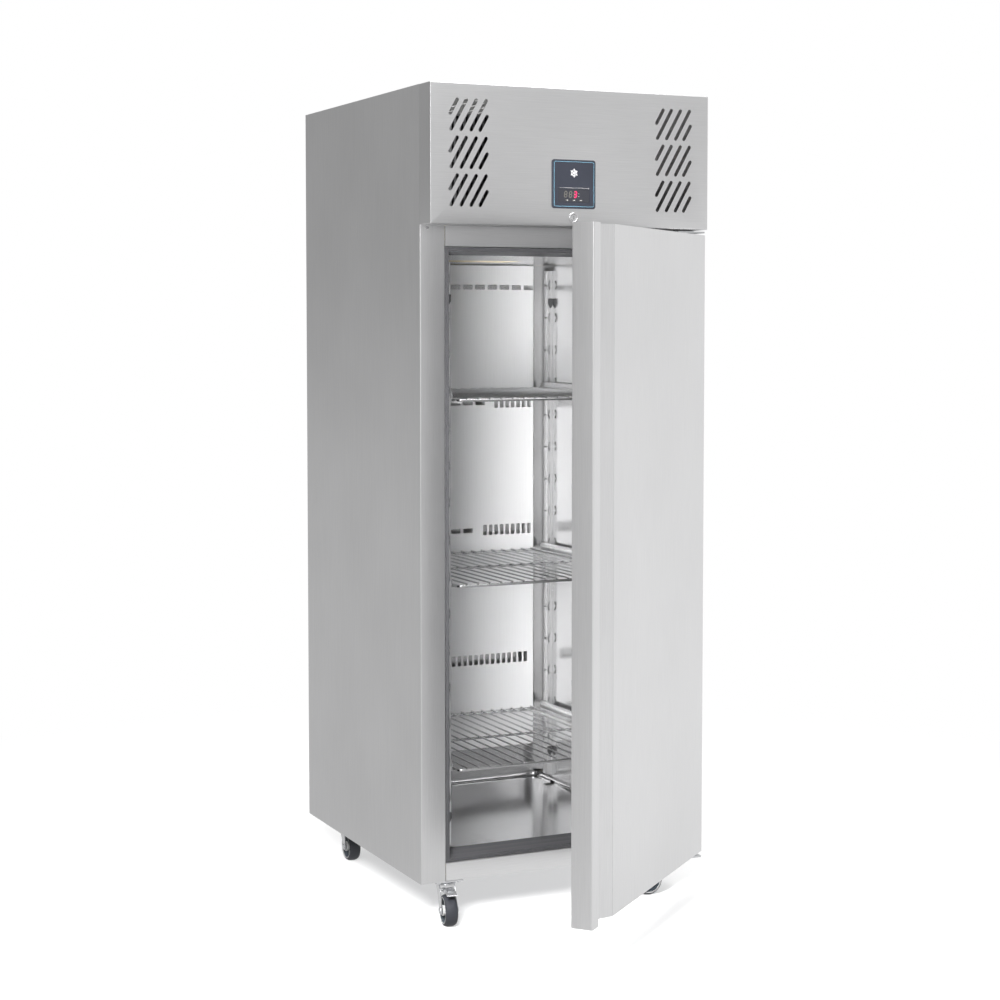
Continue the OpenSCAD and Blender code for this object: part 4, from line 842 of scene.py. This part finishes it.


# ---------------------------------------------------------------- control panel
# A slate plastic bezel snapped into the fascia, with a thin blue-grey line moulded round its face. A dark window
# sits in a shallow recess and shows red figures and three small keys. A pale grey strip along the recess's top
# wall is a painted reflection of the floor. The pictogram is plain.
slate = moulded("slate_plastic", (0.016, 0.018, 0.026), 0.5, coarse=500.0, bump=0.05)
line_blue = moulded("line_blue", (0.09, 0.19, 0.25), 0.4, bump=0.02)
pale_grey_and_painted_sheen = moulded("pale_grey_and_painted_sheen", (0.36, 0.35, 0.35), 0.35, bump=0.02)
window_tint = moulded("window_tint", (0.018, 0.019, 0.024), 0.2, coarse=600.0, bump=0.01, coat=0.2)
icon_white = moulded("icon_white", (0.7, 0.7, 0.7), 0.4, bump=0.02)
unlit = moulded("unlit_segment", (0.065, 0.062, 0.055), 0.4, bump=0.02)
bezel_w, bezel_h = bezel_hi.x - bezel_lo.x, bezel_hi.z - bezel_lo.z
bezel_y = bezel_lo.y
window_lo, window_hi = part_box("display_window")
STAND, GAP = 0.00012, 0.0002
bezel_steps = [(0.0, front_y - 0.00003)] + eased(0.0014, 0.0, bezel_y + 0.0014) + [(0.006, bezel_y)]
bezel = piece("bezel", skin(front_rings(bezel_w, bezel_h, 0.006, bezel_steps, panel_mid)), slate,
              stands_for=["control_bezel"])
recess = (window_lo.x - GAP, window_hi.x + GAP, window_lo.z - GAP, window_hi.z + GAP)
recess_mid = ((recess[0] + recess[1]) / 2, (recess[2] + recess[3]) / 2)
recess_outline = round_rectangle(recess[1] - recess[0], recess[3] - recess[2], 0.001, 3) + recess_mid
cut(bezel, run(recess_outline, bezel_y - 0.001, bezel_y + 0.0024, "y"))
BODY_IN = 0.011
piece("bezel_body", block((-bezel_w / 2 + BODY_IN, front_y + GAP, bezel_lo.z + BODY_IN),
                          (bezel_w / 2 - BODY_IN, bezel_hi.y, bezel_hi.z - BODY_IN)),
      slate, bevel=0.0005)
LINE_IN, LINE_W = 0.0086, 0.0012
line_steps = [(0.0, bezel_y + GAP), (0.0, bezel_y - STAND), (LINE_W, bezel_y - STAND), (LINE_W, bezel_y + GAP)]
piece("bezel_line", skin(front_rings(bezel_w - LINE_IN, bezel_h - LINE_IN, 0.0045, line_steps, panel_mid),
                         wrap=True), line_blue)
# A pale grey strip along the top of the window recess. Its pale grey is a painted reflection of the floor in the
# recess's dark top wall. The same grey is the real colour of the two window lamps.
SHEEN_STRIP_H = 0.0026
sheen_strip_outline = [(bezel_y + GAP, window_hi.z + SHEEN_STRIP_H), (bezel_y - 0.0001, window_hi.z + SHEEN_STRIP_H),
                (bezel_y - 0.0001, window_hi.z + SHEEN_STRIP_H * 0.8), (bezel_y + 0.0014, window_hi.z + 0.0003),
                (bezel_y + 0.0014, window_hi.z + SHEEN_STRIP_H)]
piece("window_sheen_strip", run(sheen_strip_outline, window_lo.x + 0.0035, window_hi.x - 0.001, "x"), pale_grey_and_painted_sheen)
ease_node("display_window", window_tint, 0)

glow = bpy.data.materials.new("lit_segment")
glow.use_nodes = True
lit = glow.node_tree.nodes["Principled BSDF"]
grain_at = wire_up(glow.node_tree, "ShaderNodeTexCoord").outputs["Object"]
figure = wire_up(glow.node_tree, "ShaderNodeTexNoise", Vector=grain_at, Scale=900.0)
warm = wire_up(glow.node_tree, "ShaderNodeMapRange", Value=figure.outputs[0], To_Min=0.9, To_Max=1.05)
red = wire_up(glow.node_tree, "ShaderNodeVectorMath", operation="SCALE", I0=(1.0, 0.012, 0.12),
              Scale=warm.outputs[0])
lit.inputs["Base Color"].default_value = (0.35, 0.01, 0.05, 1)
glow.node_tree.links.new(red.outputs[0], lit.inputs["Emission Color"])
lit.inputs["Emission Strength"].default_value = 0.95

FIGURE_W, FIGURE_H, STROKE, PITCH, SLANT = 0.0088, 0.0158, 0.0026, 0.0125, 0.08
glass_y = window_lo.y


def figure_bars(centre_x, centre_z, bars):
    """The named bars of a seven-bar figure as thin plates on the window: six-sided bars with pointed ends."""
    w, h, s = FIGURE_W / 2 - STROKE / 2, FIGURE_H / 2 - STROKE / 2, STROKE / 2
    level = [(-w, 0), (-w + s, s), (w - s, s), (w, 0), (w - s, -s), (-w + s, -s)]
    upright = [(0, -h / 2), (s, -h / 2 + s), (s, h / 2 - s), (0, h / 2), (-s, h / 2 - s), (-s, -h / 2 + s)]
    where = {"a": (level, 0, h), "g": (level, 0, 0), "d": (level, 0, -h), "b": (upright, w, h / 2),
             "c": (upright, w, -h / 2), "f": (upright, -w, h / 2), "e": (upright, -w, -h / 2)}
    shapes = []
    for bar in bars:
        outline, dx, dz = where[bar]
        points = np.array(outline) + (dx, dz)
        points[:, 0] += points[:, 1] * SLANT
        shapes.append(run(points + (centre_x, centre_z), glass_y - STAND, glass_y + 0.0003, "y"))
    return shapes


figure_x, figure_z = 0.0034, (window_lo.z + window_hi.z) / 2 + 0.0030
piece("figure_lit", together(*figure_bars(figure_x, figure_z, "abcdg")), glow)
piece("figures_unlit", together(*figure_bars(figure_x, figure_z, "ef"),
                                *figure_bars(figure_x - PITCH, figure_z, "abcdefg"),
                                *figure_bars(figure_x - 2 * PITCH, figure_z, "abcdefg")),
      unlit)
dots = copies(lathe([(0.0009, 0.0003), (0.0009, -0.0001), (0.0005, -0.0002)], (0, 0, 0), "y", 14),
              [(0.0125, glass_y, figure_z + 0.0022), (0.0125, glass_y, figure_z - 0.0045)])
piece("window_lamps", dots, pale_grey_and_painted_sheen)
marks = {"left": [(-0.0016, -0.0007), (0.0016, -0.0007), (0, 0.0009)],
         "middle": [(-0.0013, -0.0009), (0.0013, -0.0009), (0.0013, 0.0009), (-0.0013, 0.0009)],
         "right": [(-0.0016, 0.0007), (0, -0.0009), (0.0016, 0.0007)]}
for label, mark in marks.items():
    lo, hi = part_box("button_" + label)
    key_mid = ((lo.x + hi.x) / 2, (lo.z + hi.z) / 2)
    key_rings = front_rings(hi.x - lo.x, hi.z - lo.z, 0.0011, [(0.0, hi.y)] + eased(0.0005, 0.0, lo.y + 0.0005),
                            key_mid)
    piece("key_" + label, skin(key_rings), unlit, body="button_" + label,
          stands_for=["button_" + label])
    piece("key_mark_" + label, run(np.array(mark) + key_mid, lo.y - 0.00006, lo.y + 0.0002, "y"), icon_white,
          body="button_" + label)

# Six arms, each a stroke with two twigs. They lie a few microns apart in depth, so that none shares a face.
ARM, TWIG, TWIG_AT, STROKE_HALF = 0.0100, 0.0034, 0.0055, 0.00065
pictogram_at = (0.0, panel_mid[1] + 0.026)
arms = []
for k in range(6):
    way = np.array([math.sin(k * math.pi / 3), math.cos(k * math.pi / 3)])
    for start, off, length in ((0.0, 0.0, ARM), (TWIG_AT, math.pi / 3, TWIG), (TWIG_AT, -math.pi / 3, TWIG)):
        lean = np.array([way[0] * math.cos(off) + way[1] * math.sin(off),
                         way[1] * math.cos(off) - way[0] * math.sin(off)])
        side = np.array([lean[1], -lean[0]]) * STROKE_HALF
        a, b = way * start, way * start + lean * length
        arms.append(run(np.array([a - side, b - side, b + side, a + side]) + pictogram_at,
                        bezel_y - 0.0001 - k * 0.000004, bezel_y + 0.0003, "y"))
piece("snow_pictogram", together(*arms), icon_white)


# ---------------------------------------------------------------- lock
# A plated cam lock under the control panel: a turned body with a domed flange, and a barrel with its keyway
# that carries the steel cam behind the fascia.
chrome = steel("lock_plating", (0.82, 0.82, 0.83), 0.12, streak=0.01, bump=0.0, smear=0.15)
spot = (0, 0, lock_z)
flange = [(r, front_y + y) for r, y in (
    (0.0081, 0.016), (0.0110, 0.016), (0.0110, 0), (0.0125, -0.00005), (0.0125, -0.0010), (0.0120, -0.0019),
    (0.0108, -0.0025), (0.0090, -0.0026), (0.0081, -0.0020))]
piece("lock_flange", lathe(flange, spot, "y", 40, wrap=True), chrome,
      stands_for=["lock_body"])
plug = [(r, front_y + y) for r, y in (
    (0.0080, 0.019), (0.0080, -0.0012), (0.0074, -0.0019), (0.0062, -0.0022), (0.0030, -0.0023))]
barrel = piece("lock_plug", lathe(plug, spot, "y", 40), chrome, body="lock_barrel",
               stands_for=["lock_barrel"])
KEYWAY_W, KEYWAY_H = 0.0016, 0.0084
cut(barrel, block((-KEYWAY_W / 2, front_y - 0.004, lock_z - KEYWAY_H / 2),
                  (KEYWAY_W / 2, front_y + 0.006, lock_z + KEYWAY_H / 2)))
cam_y = cam_hi.y - 0.0025
cam = soft_polygon([(cam_lo.x, lock_z - 0.006), (0.0, lock_z - 0.010), (0.010, lock_z - 0.004),
                    (0.010, lock_z + 0.004), (0.0, lock_z + 0.010), (cam_lo.x, lock_z + 0.006)], 0.003)
piece("lock_cam", run(cam, cam_y, cam_hi.y, "y"), screw_zinc, body="lock_barrel",
      bevel=0.0003)


# ---------------------------------------------------------------- door
# The door hangs ajar, so its pieces are worked out shut and swung about the hinge by the angle it rests at. Two
# folded sheets make the outside: the skin, and a full-height channel with the pull's lip. Flat ends close both.
hinge = Vector(joints["door_hinge"]["pos_m"])
ajar = math.radians(-joints["door_hinge"]["range_deg"][0])


def swing(shape):
    """Turns a shape about the hinge's upright axis from shut to the angle at which the door rests."""
    points, faces = shape
    c, s = math.cos(ajar), math.sin(ajar)
    x, y = points[:, 0] - hinge.x, points[:, 1] - hinge.y
    return np.column_stack([hinge.x + c * x - s * y, hinge.y + s * x + c * y, points[:, 2]]), faces


door_steel = steel("door_steel", (0.765, 0.765, 0.77), 0.36, turn=-ajar, cloud=0.02)
door_lo, door_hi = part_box("door_skin")
DOOR_T, SIDE_GAP, LIP_W, RECESS_W, RECESS_D, CORNER = 0.050, 0.002, 0.0387, 0.1174, 0.027, 0.005
door_x0, door_x1, door_back = -half_w + SIDE_GAP, half_w - SIDE_GAP, front_y + DOOR_T
channel_x = door_x0 + RECESS_W
recess_floor = channel_x - 1.5 * RECESS_D
wall_back = door_back - SHEET
seam_x = channel_x + HAIRLINE
skin_line = [(seam_x, front_y + mid), (door_x1 - mid, front_y + mid), (door_x1 - mid, wall_back - CORNER),
             (door_x1 - CORNER, wall_back - mid), (door_x1 - 0.03, wall_back - mid)]
skin_end = [(seam_x, front_y + SHEET), (door_x1 - SHEET, front_y + SHEET), (door_x1 - SHEET, wall_back - CORNER),
            (door_x1 - CORNER - SHEET, wall_back - SHEET), (seam_x, wall_back - SHEET)]
ends = [(door_lo.z + 0.0004, door_lo.z + 0.0004 + SHEET), (door_hi.z - 0.0004 - SHEET, door_hi.z - 0.0004)]
skin_shapes = [run(sheet_loop(skin_line, FOLD, SHEET), door_lo.z, door_hi.z)]
skin_shapes += [run(skin_end, a, b) for a, b in ends]
outer_skin = piece("door_outer_skin", swing(together(*skin_shapes)), door_steel, body="door",
                   stands_for=["door_skin"])
bush_lo, bush_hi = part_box("door_bushes")
bush_r = (bush_hi.x - bush_lo.x) / 2
cam_pocket = swing(block((-0.026, cam_hi.y - 0.0055, door_hi.z - 0.010),
                         (CAM_SLOT_END, cam_hi.y + 0.003, door_hi.z + 0.001)))
pin_hole = circle * (bush_r + 0.0003) + (hinge.x, hinge.y)
cut(outer_skin, run(pin_hole, door_lo.z - 0.001, door_lo.z + 0.006),
    run(pin_hole, door_hi.z - 0.006, door_hi.z + 0.001), cam_pocket)

lip_x, recess_y = door_x0 + LIP_W, front_y + RECESS_D
channel_line = [(door_x0 + mid, wall_back), (door_x0 + mid, front_y + mid), (lip_x - mid, front_y + mid),
                (lip_x - mid, recess_y + mid), (recess_floor, recess_y + mid),
                (channel_x, front_y + mid + 0.0002)]
channel_end = [(door_x0 + SHEET, front_y + SHEET), (lip_x - SHEET, front_y + SHEET),
               (lip_x - SHEET, recess_y + SHEET), (recess_floor, recess_y + SHEET),
               (channel_x, front_y + 1.6 * SHEET), (channel_x, wall_back - SHEET),
               (door_x0 + SHEET, wall_back - SHEET)]
channel_shapes = [run(sheet_loop(channel_line, 0.003, SHEET), door_lo.z, door_hi.z)]
channel_shapes += [run(channel_end, a, b) for a, b in ends]
piece("door_pull_channel", swing(together(*channel_shapes)), door_steel, body="door",
      stands_for=["door_handle_channel"])

# The inside of the door is one pressed pan. Its rim is flat where the gasket's grip sits, and its middle is
# raised on a cove with wide round corners.
PAN_RISE, PAN_R = 0.008, 0.006
gasket_half, pan_mid = open_half + 0.012, (0.0, (open_bottom + open_top) / 2)
pan_w, pan_h = 2 * (gasket_half - 0.014), open_top - open_bottom - 0.012
rim_w, rim_h = door_x1 - door_x0 - CORNER - 0.0009, door_hi.z - door_lo.z - 0.0006
rim_mid = (-(CORNER + 0.0003) / 2, (door_lo.z + door_hi.z) / 2)
t = np.linspace(0, math.pi / 2, 6)
rise = [(PAN_R * math.sin(a) * 0.5, PAN_RISE / 2 * (1 - math.cos(a))) for a in t]
rise += [(PAN_R * (1 - 0.5 * math.cos(a)), PAN_RISE / 2 * (1 + math.sin(a))) for a in t[1:]]


def pan_rings(sink):
    """The pan's face as outlines from the rim inwards, drawn in at each step up the cove; sink lowers it."""
    rings = front_rings(rim_w, rim_h, 0.001, [(0.0, wall_back + 0.00003), (0.0, door_back - sink)], rim_mid)
    for inset, up in rise:
        rings += front_rings(pan_w - 2 * inset, pan_h - 2 * inset, 0.030 - inset,
                             [(0.0, door_back - sink + up)], pan_mid)
    return rings


face = pan_rings(0.0)
back_face = pan_rings(0.0008)
piece("door_inner_liner", swing(skin(back_face[2:][::-1] + [face[0]] + face[1:])), case_steel, body="door",
      stands_for=["door_inner_pan"], smooth=30)

# The gasket is a soft grey extrusion, mitred at the corners: a barbed foot in the pan, a bellows, and a wide
# flat pocket that holds the magnet.
gasket_rubber = moulded("gasket_rubber", (0.075, 0.075, 0.08), 0.6, coarse=240.0, bump=0.06)
gasket_lo, gasket_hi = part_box("door_gasket")
gasket_t = seat_y - door_back - 0.0003
GASKET_W = 0.022
bottom_in, top_in = open_bottom - 0.012, open_top + 0.012


def gasket_ring(out, depth):
    """One rectangle round the door's inner face: out from the gasket's inner edge, and deep from the pan."""
    x, lo, hi, y = gasket_half + out, bottom_in - out, top_in + out, door_back + depth
    return np.array([(-x, y, lo), (x, y, lo), (x, y, hi), (-x, y, hi)])


nose = gasket_t - 0.0006
bellows = [(0.004, 0.0001), (0.004, 0.0022), (0.0075, 0.0034), (0.0045, 0.0048), (0.0075, 0.0062),
           (0.0015, 0.0072), (0.0, 0.0086), (0.0, nose), (0.0008, gasket_t), (0.0055, gasket_t), (0.0065, nose),
           (0.0155, nose), (0.0165, gasket_t), (GASKET_W - 0.0008, gasket_t), (GASKET_W, nose),
           (GASKET_W, 0.0086), (0.0205, 0.0072), (0.0145, 0.0062), (0.0175, 0.0048), (0.0145, 0.0034),
           (0.018, 0.0022), (0.018, 0.0001)]
seal_rings = [gasket_ring(out, up) for out, up in bellows]
piece("door_seal", swing(skin(seal_rings, wrap=True)), gasket_rubber, body="door",
      stands_for=["door_gasket"], smooth=25)

nylon = moulded("nylon", (0.8, 0.8, 0.78), 0.45, coarse=260.0, bump=0.04)
ease_node("door_bushes", nylon, 0)


# ---------------------------------------------------------------- hinges
# The door turns on two steel pins. Each stands in a thick plate that is screwed up under the fascia or under
# the cabinet, and a thrust washer carries the door's weight at the bottom.
hinge_steel = steel("hinge_steel", (0.62, 0.63, 0.64), 0.3, streak=0.02, bump=0.01)
ease_node("hinge_brackets", hinge_steel, 0.0005)
plate_lo, plate_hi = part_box("hinge_brackets")
bolt_line = [(0.0062, 0.0002), (0.0062, -0.0032), (0.0054, -0.0042), (0.0030, -0.0042), (0.0026, -0.0024)]
bolt = lathe(bolt_line, (0, 0, 0), "z", 6)
bolt_spots = [(plate_hi.x - 0.012, seat_y + inwards, base_z - 0.004) for inwards in (0.020, 0.044)]
piece("hinge_bolts", copies(bolt, bolt_spots), screw_zinc, bevel=0.0003)
plug_line = [(0.0032, 0.0004), (0.0032, -0.0010), (0.0022, -0.0018), (0.0006, -0.0020)]
piece("header_plugs", copies(lathe(plug_line, (0, 0, 0), "y", 18), [(-half_w + 0.019, seat_y, deck - 0.0065)]),
      black_plastic)


# ---------------------------------------------------------------- castors
# Four zinc-plated swivel castors. A pressed fork turns on a ball race under a bolted plate, and a rubber-tyred
# wheel runs on a through bolt. The front pair has a pressed brake pedal on a cross pin.
zinc_plate = steel("castor_zinc", (0.78, 0.785, 0.80), 0.22, streak=0.02, bump=0.02, cloud=0.06)
tread = moulded("tread_rubber", (0.018, 0.019, 0.023), 0.52, coarse=260.0, bump=0.1)
core = moulded("wheel_core", (0.030, 0.038, 0.046), 0.42, coarse=200.0, bump=0.05)
ring_grey = moulded("wheel_ring", (0.30, 0.30, 0.30), 0.4, bump=0.03)
ease_node("castor_plates", zinc_plate, 0.0005)
TYRE_T, LEG_T, LEG_IN, PLATE_T, CROWN_T = 0.0065, 0.0025, 0.017, 0.003, 0.005
WHEEL_HALF, AXLE_R, PIVOT_R, PIVOT_X, PIVOT_DROP = 0.015, 0.0040, 0.0025, 0.020, 0.009
PEDAL_HALF, PEDAL_T, PAD_X, PAD_SLOPE = 0.0125, 0.0018, 0.046, 0.12


def at_castor(shape):
    """Turns a castor shape from its own frame, trailing along +X from the swivel, to where the castor stands."""
    points, faces = shape
    c, s = math.cos(trail_way), math.sin(trail_way)
    x, y = points[:, 0], points[:, 1]
    return np.column_stack([swivel.x + c * x - s * y, swivel.y + s * x + c * y, points[:, 2]]), faces


def bushing(profile, s, height, spot, sides, wrap=False):
    """A turned part on one side of the castor: heights are taken outwards from a face on side s, along Y."""
    return lathe([(r, height + s * h) for r, h in profile], spot, "y", sides, wrap=wrap)


plate_bolts = []
for key in ("fl", "fr", "rl", "rr"):
    braked = key in ("fl", "fr")
    swivel, axle = (Vector(joints["castor_%s_%s" % (key, way)]["pos_m"]) for way in ("turn", "roll"))
    trail_way = math.atan2(axle.y - swivel.y, axle.x - swivel.x)
    trail, wheel_r = math.hypot(axle.x - swivel.x, axle.y - swivel.y), axle.z
    crown_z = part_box("castor_%s_fork" % key)[1].z

    hub = (trail, 0, wheel_r)
    inner = wheel_r - TYRE_T
    t = np.linspace(-1, 1, 13)
    crown = [(wheel_r - 0.0042 * abs(a) ** 3.2, a * (WHEEL_HALF - 0.0004)) for a in t]
    tyre = [(inner, -WHEEL_HALF + 0.001), (inner + 0.0018, -WHEEL_HALF)] + crown
    tyre += [(inner + 0.0018, WHEEL_HALF), (inner, WHEEL_HALF - 0.001)]
    piece("castor_%s_tread" % key, at_castor(lathe(tyre, hub, "y", 64, wrap=True)), tread,
          body="castor_%s_roller" % key, stands_for=["castor_%s_tyre" % key], smooth=50)
    rim = inner - 0.0001
    half = [(0.0042, 0.0166), (0.0085, 0.0166), (0.0094, 0.0158), (0.0100, 0.0090), (0.0118, 0.0062),
            (0.0200, 0.0052), (0.0248, 0.0066), (rim - 0.0030, 0.0126), (rim - 0.0022, 0.0136), (rim, 0.0136)]
    centre = half + [(r, -h) for r, h in half[::-1]]
    piece("castor_%s_core" % key, at_castor(lathe(centre, hub, "y", 48, wrap=True)), core,
          body="castor_%s_roller" % key, stands_for=["castor_%s_wheel" % key], smooth=40)
    ring = [(rim - 0.0021, 0.0134), (rim - 0.0019, 0.0146), (rim + 0.0006, 0.0150), (rim + 0.0007, 0.0138)]
    caps = [(0.0043, 0.0162), (0.0120, 0.0160), (0.0128, 0.0150), (0.0120, 0.0100), (0.0101, 0.0090)]
    rings = [bushing(part, s, 0, hub, 48, wrap=True) for part in (ring, caps) for s in (1, -1)]
    piece("castor_%s_rings" % key, at_castor(together(*rings)), ring_grey, body="castor_%s_roller" % key,
          smooth=40)

    leg_top = crown_z - CROWN_T
    pivot_z = leg_top - PIVOT_DROP
    pivot = (PIVOT_X, 0, pivot_z)
    leg = soft_polygon([(-0.017, leg_top + 0.002), (0.017, leg_top + 0.002), (0.030, leg_top - 0.012),
                        (trail + 0.0095, wheel_r + 0.004), (trail + 0.009, wheel_r - 0.0085),
                        (trail - 0.009, wheel_r - 0.0085), (trail - 0.012, wheel_r + 0.004)], 0.0045)
    parts = [run(leg, s * LEG_IN, s * (LEG_IN + LEG_T), "y") for s in (-1, 1)]
    plate = soft_polygon([(-0.026, -0.0185), (0.016, -0.0192), (0.016, 0.0192), (-0.026, 0.0185)], 0.006)
    parts.append(run(plate, leg_top + 0.0005, crown_z - 0.0014))
    dome = [(0.0062, leg_top), (0.024, leg_top), (0.0255, leg_top + 0.0012), (0.0255, crown_z - 0.0018),
            (0.0240, crown_z), (0.0062, crown_z)]
    parts.append(lathe(dome, (0, 0, 0), "z", 48, wrap=True))
    washer = [(0.0088, -0.0004), (0.0088, 0.0008), (0.0070, 0.0009)]
    nut = [(0.0070, -0.0004), (0.0070, 0.0030), (0.0060, 0.0038), (0.0010, 0.0040)]
    rivet = [(0.0042, -0.0004), (0.0042, 0.0006), (0.0030, 0.0014), (0.0008, 0.0015)]
    for s in (-1, 1):
        face_at = s * (LEG_IN + LEG_T)
        parts += [bushing(washer, s, face_at, hub, 28), bushing(nut, s, face_at, hub, 6)]
        if braked:
            parts.append(bushing(rivet, s, face_at, pivot, 20))
    parts.append(lathe([(AXLE_R, -LEG_IN - 0.001), (AXLE_R, LEG_IN + 0.001)], hub, "y", 20))
    if braked:
        parts.append(lathe([(PIVOT_R, -LEG_IN - 0.001), (PIVOT_R, LEG_IN + 0.001)], pivot, "y", 16))
    piece("castor_%s_yoke" % key, at_castor(together(*parts)), zinc_plate, body="castor_%s_swivel" % key,
          stands_for=["castor_%s_fork" % key], bevel=0.0004, smooth=40)
    plate_bolts += [(swivel.x + sx * 0.026, swivel.y + sy * 0.021, base_z - PLATE_T)
                    for sx in (-1, 1) for sy in (-1, 1)]

    if braked:
        z = pivot_z
        line = [(0.0165, z - 0.002), (0.0170, z + 0.0028), (0.0400, z + 0.0028), (0.0500, z + 0.0022),
                (0.0700, z - 0.0030), (0.0716, z - 0.0012)]
        shapes = [run(sheet_loop(line, 0.003, PEDAL_T), -PEDAL_HALF, PEDAL_HALF, "y")]
        bore = PIVOT_R + 0.0001
        eye = [(bore, 0.0045), (0.0045, 0.0045), (0.0045, PEDAL_HALF), (bore, PEDAL_HALF)]
        for s in (-1, 1):
            cheek = soft_polygon([(0.0165, z - 0.0045), (0.0470, z - 0.0030), (0.0500, z + 0.0030),
                                  (0.0165, z + 0.0030)], 0.0015)
            shapes.append(run(cheek, s * (PEDAL_HALF - 0.0016), s * PEDAL_HALF, "y"))
            shapes.append(bushing(eye, s, 0, pivot, 20, wrap=True))
        lip = [(0.0690, z - 0.0034), (0.0712, z - 0.0038), (0.0716, z - 0.0014), (0.0694, z - 0.0010)]
        shapes.append(run(lip, -PEDAL_HALF, PEDAL_HALF, "y"))
        shapes.append(block((0.034, -0.008, z - 0.0008), (0.040, 0.008, z + 0.002)))
        piece("castor_%s_lever" % key, at_castor(together(*shapes)), zinc_plate, body="castor_%s_pedal" % key,
              stands_for=["castor_%s_brake" % key], bevel=0.0004, smooth=40)
        pad_rings = []
        for inset, up in ((0.0, 0.0030), (0.0, 0.0042), (0.0008, 0.0048)):
            flat = round_rectangle(0.017 - 2 * inset, 0.013 - 2 * inset, 0.0015) + (PAD_X, 0)
            droop = np.maximum(flat[:, 0] - PAD_X, 0) * PAD_SLOPE
            pad_rings.append(np.column_stack([flat, z + up - droop]))
        piece("castor_%s_pad" % key, at_castor(skin(pad_rings)), screw_zinc, body="castor_%s_pedal" % key)
bolt_line = [(0.0055, 0.0002), (0.0055, -0.0030), (0.0046, -0.0038), (0.0010, -0.0039)]
piece("castor_bolts", copies(lathe(bolt_line, (0, 0, 0), "z", 6), plate_bolts), screw_zinc,
      bevel=0.0003)
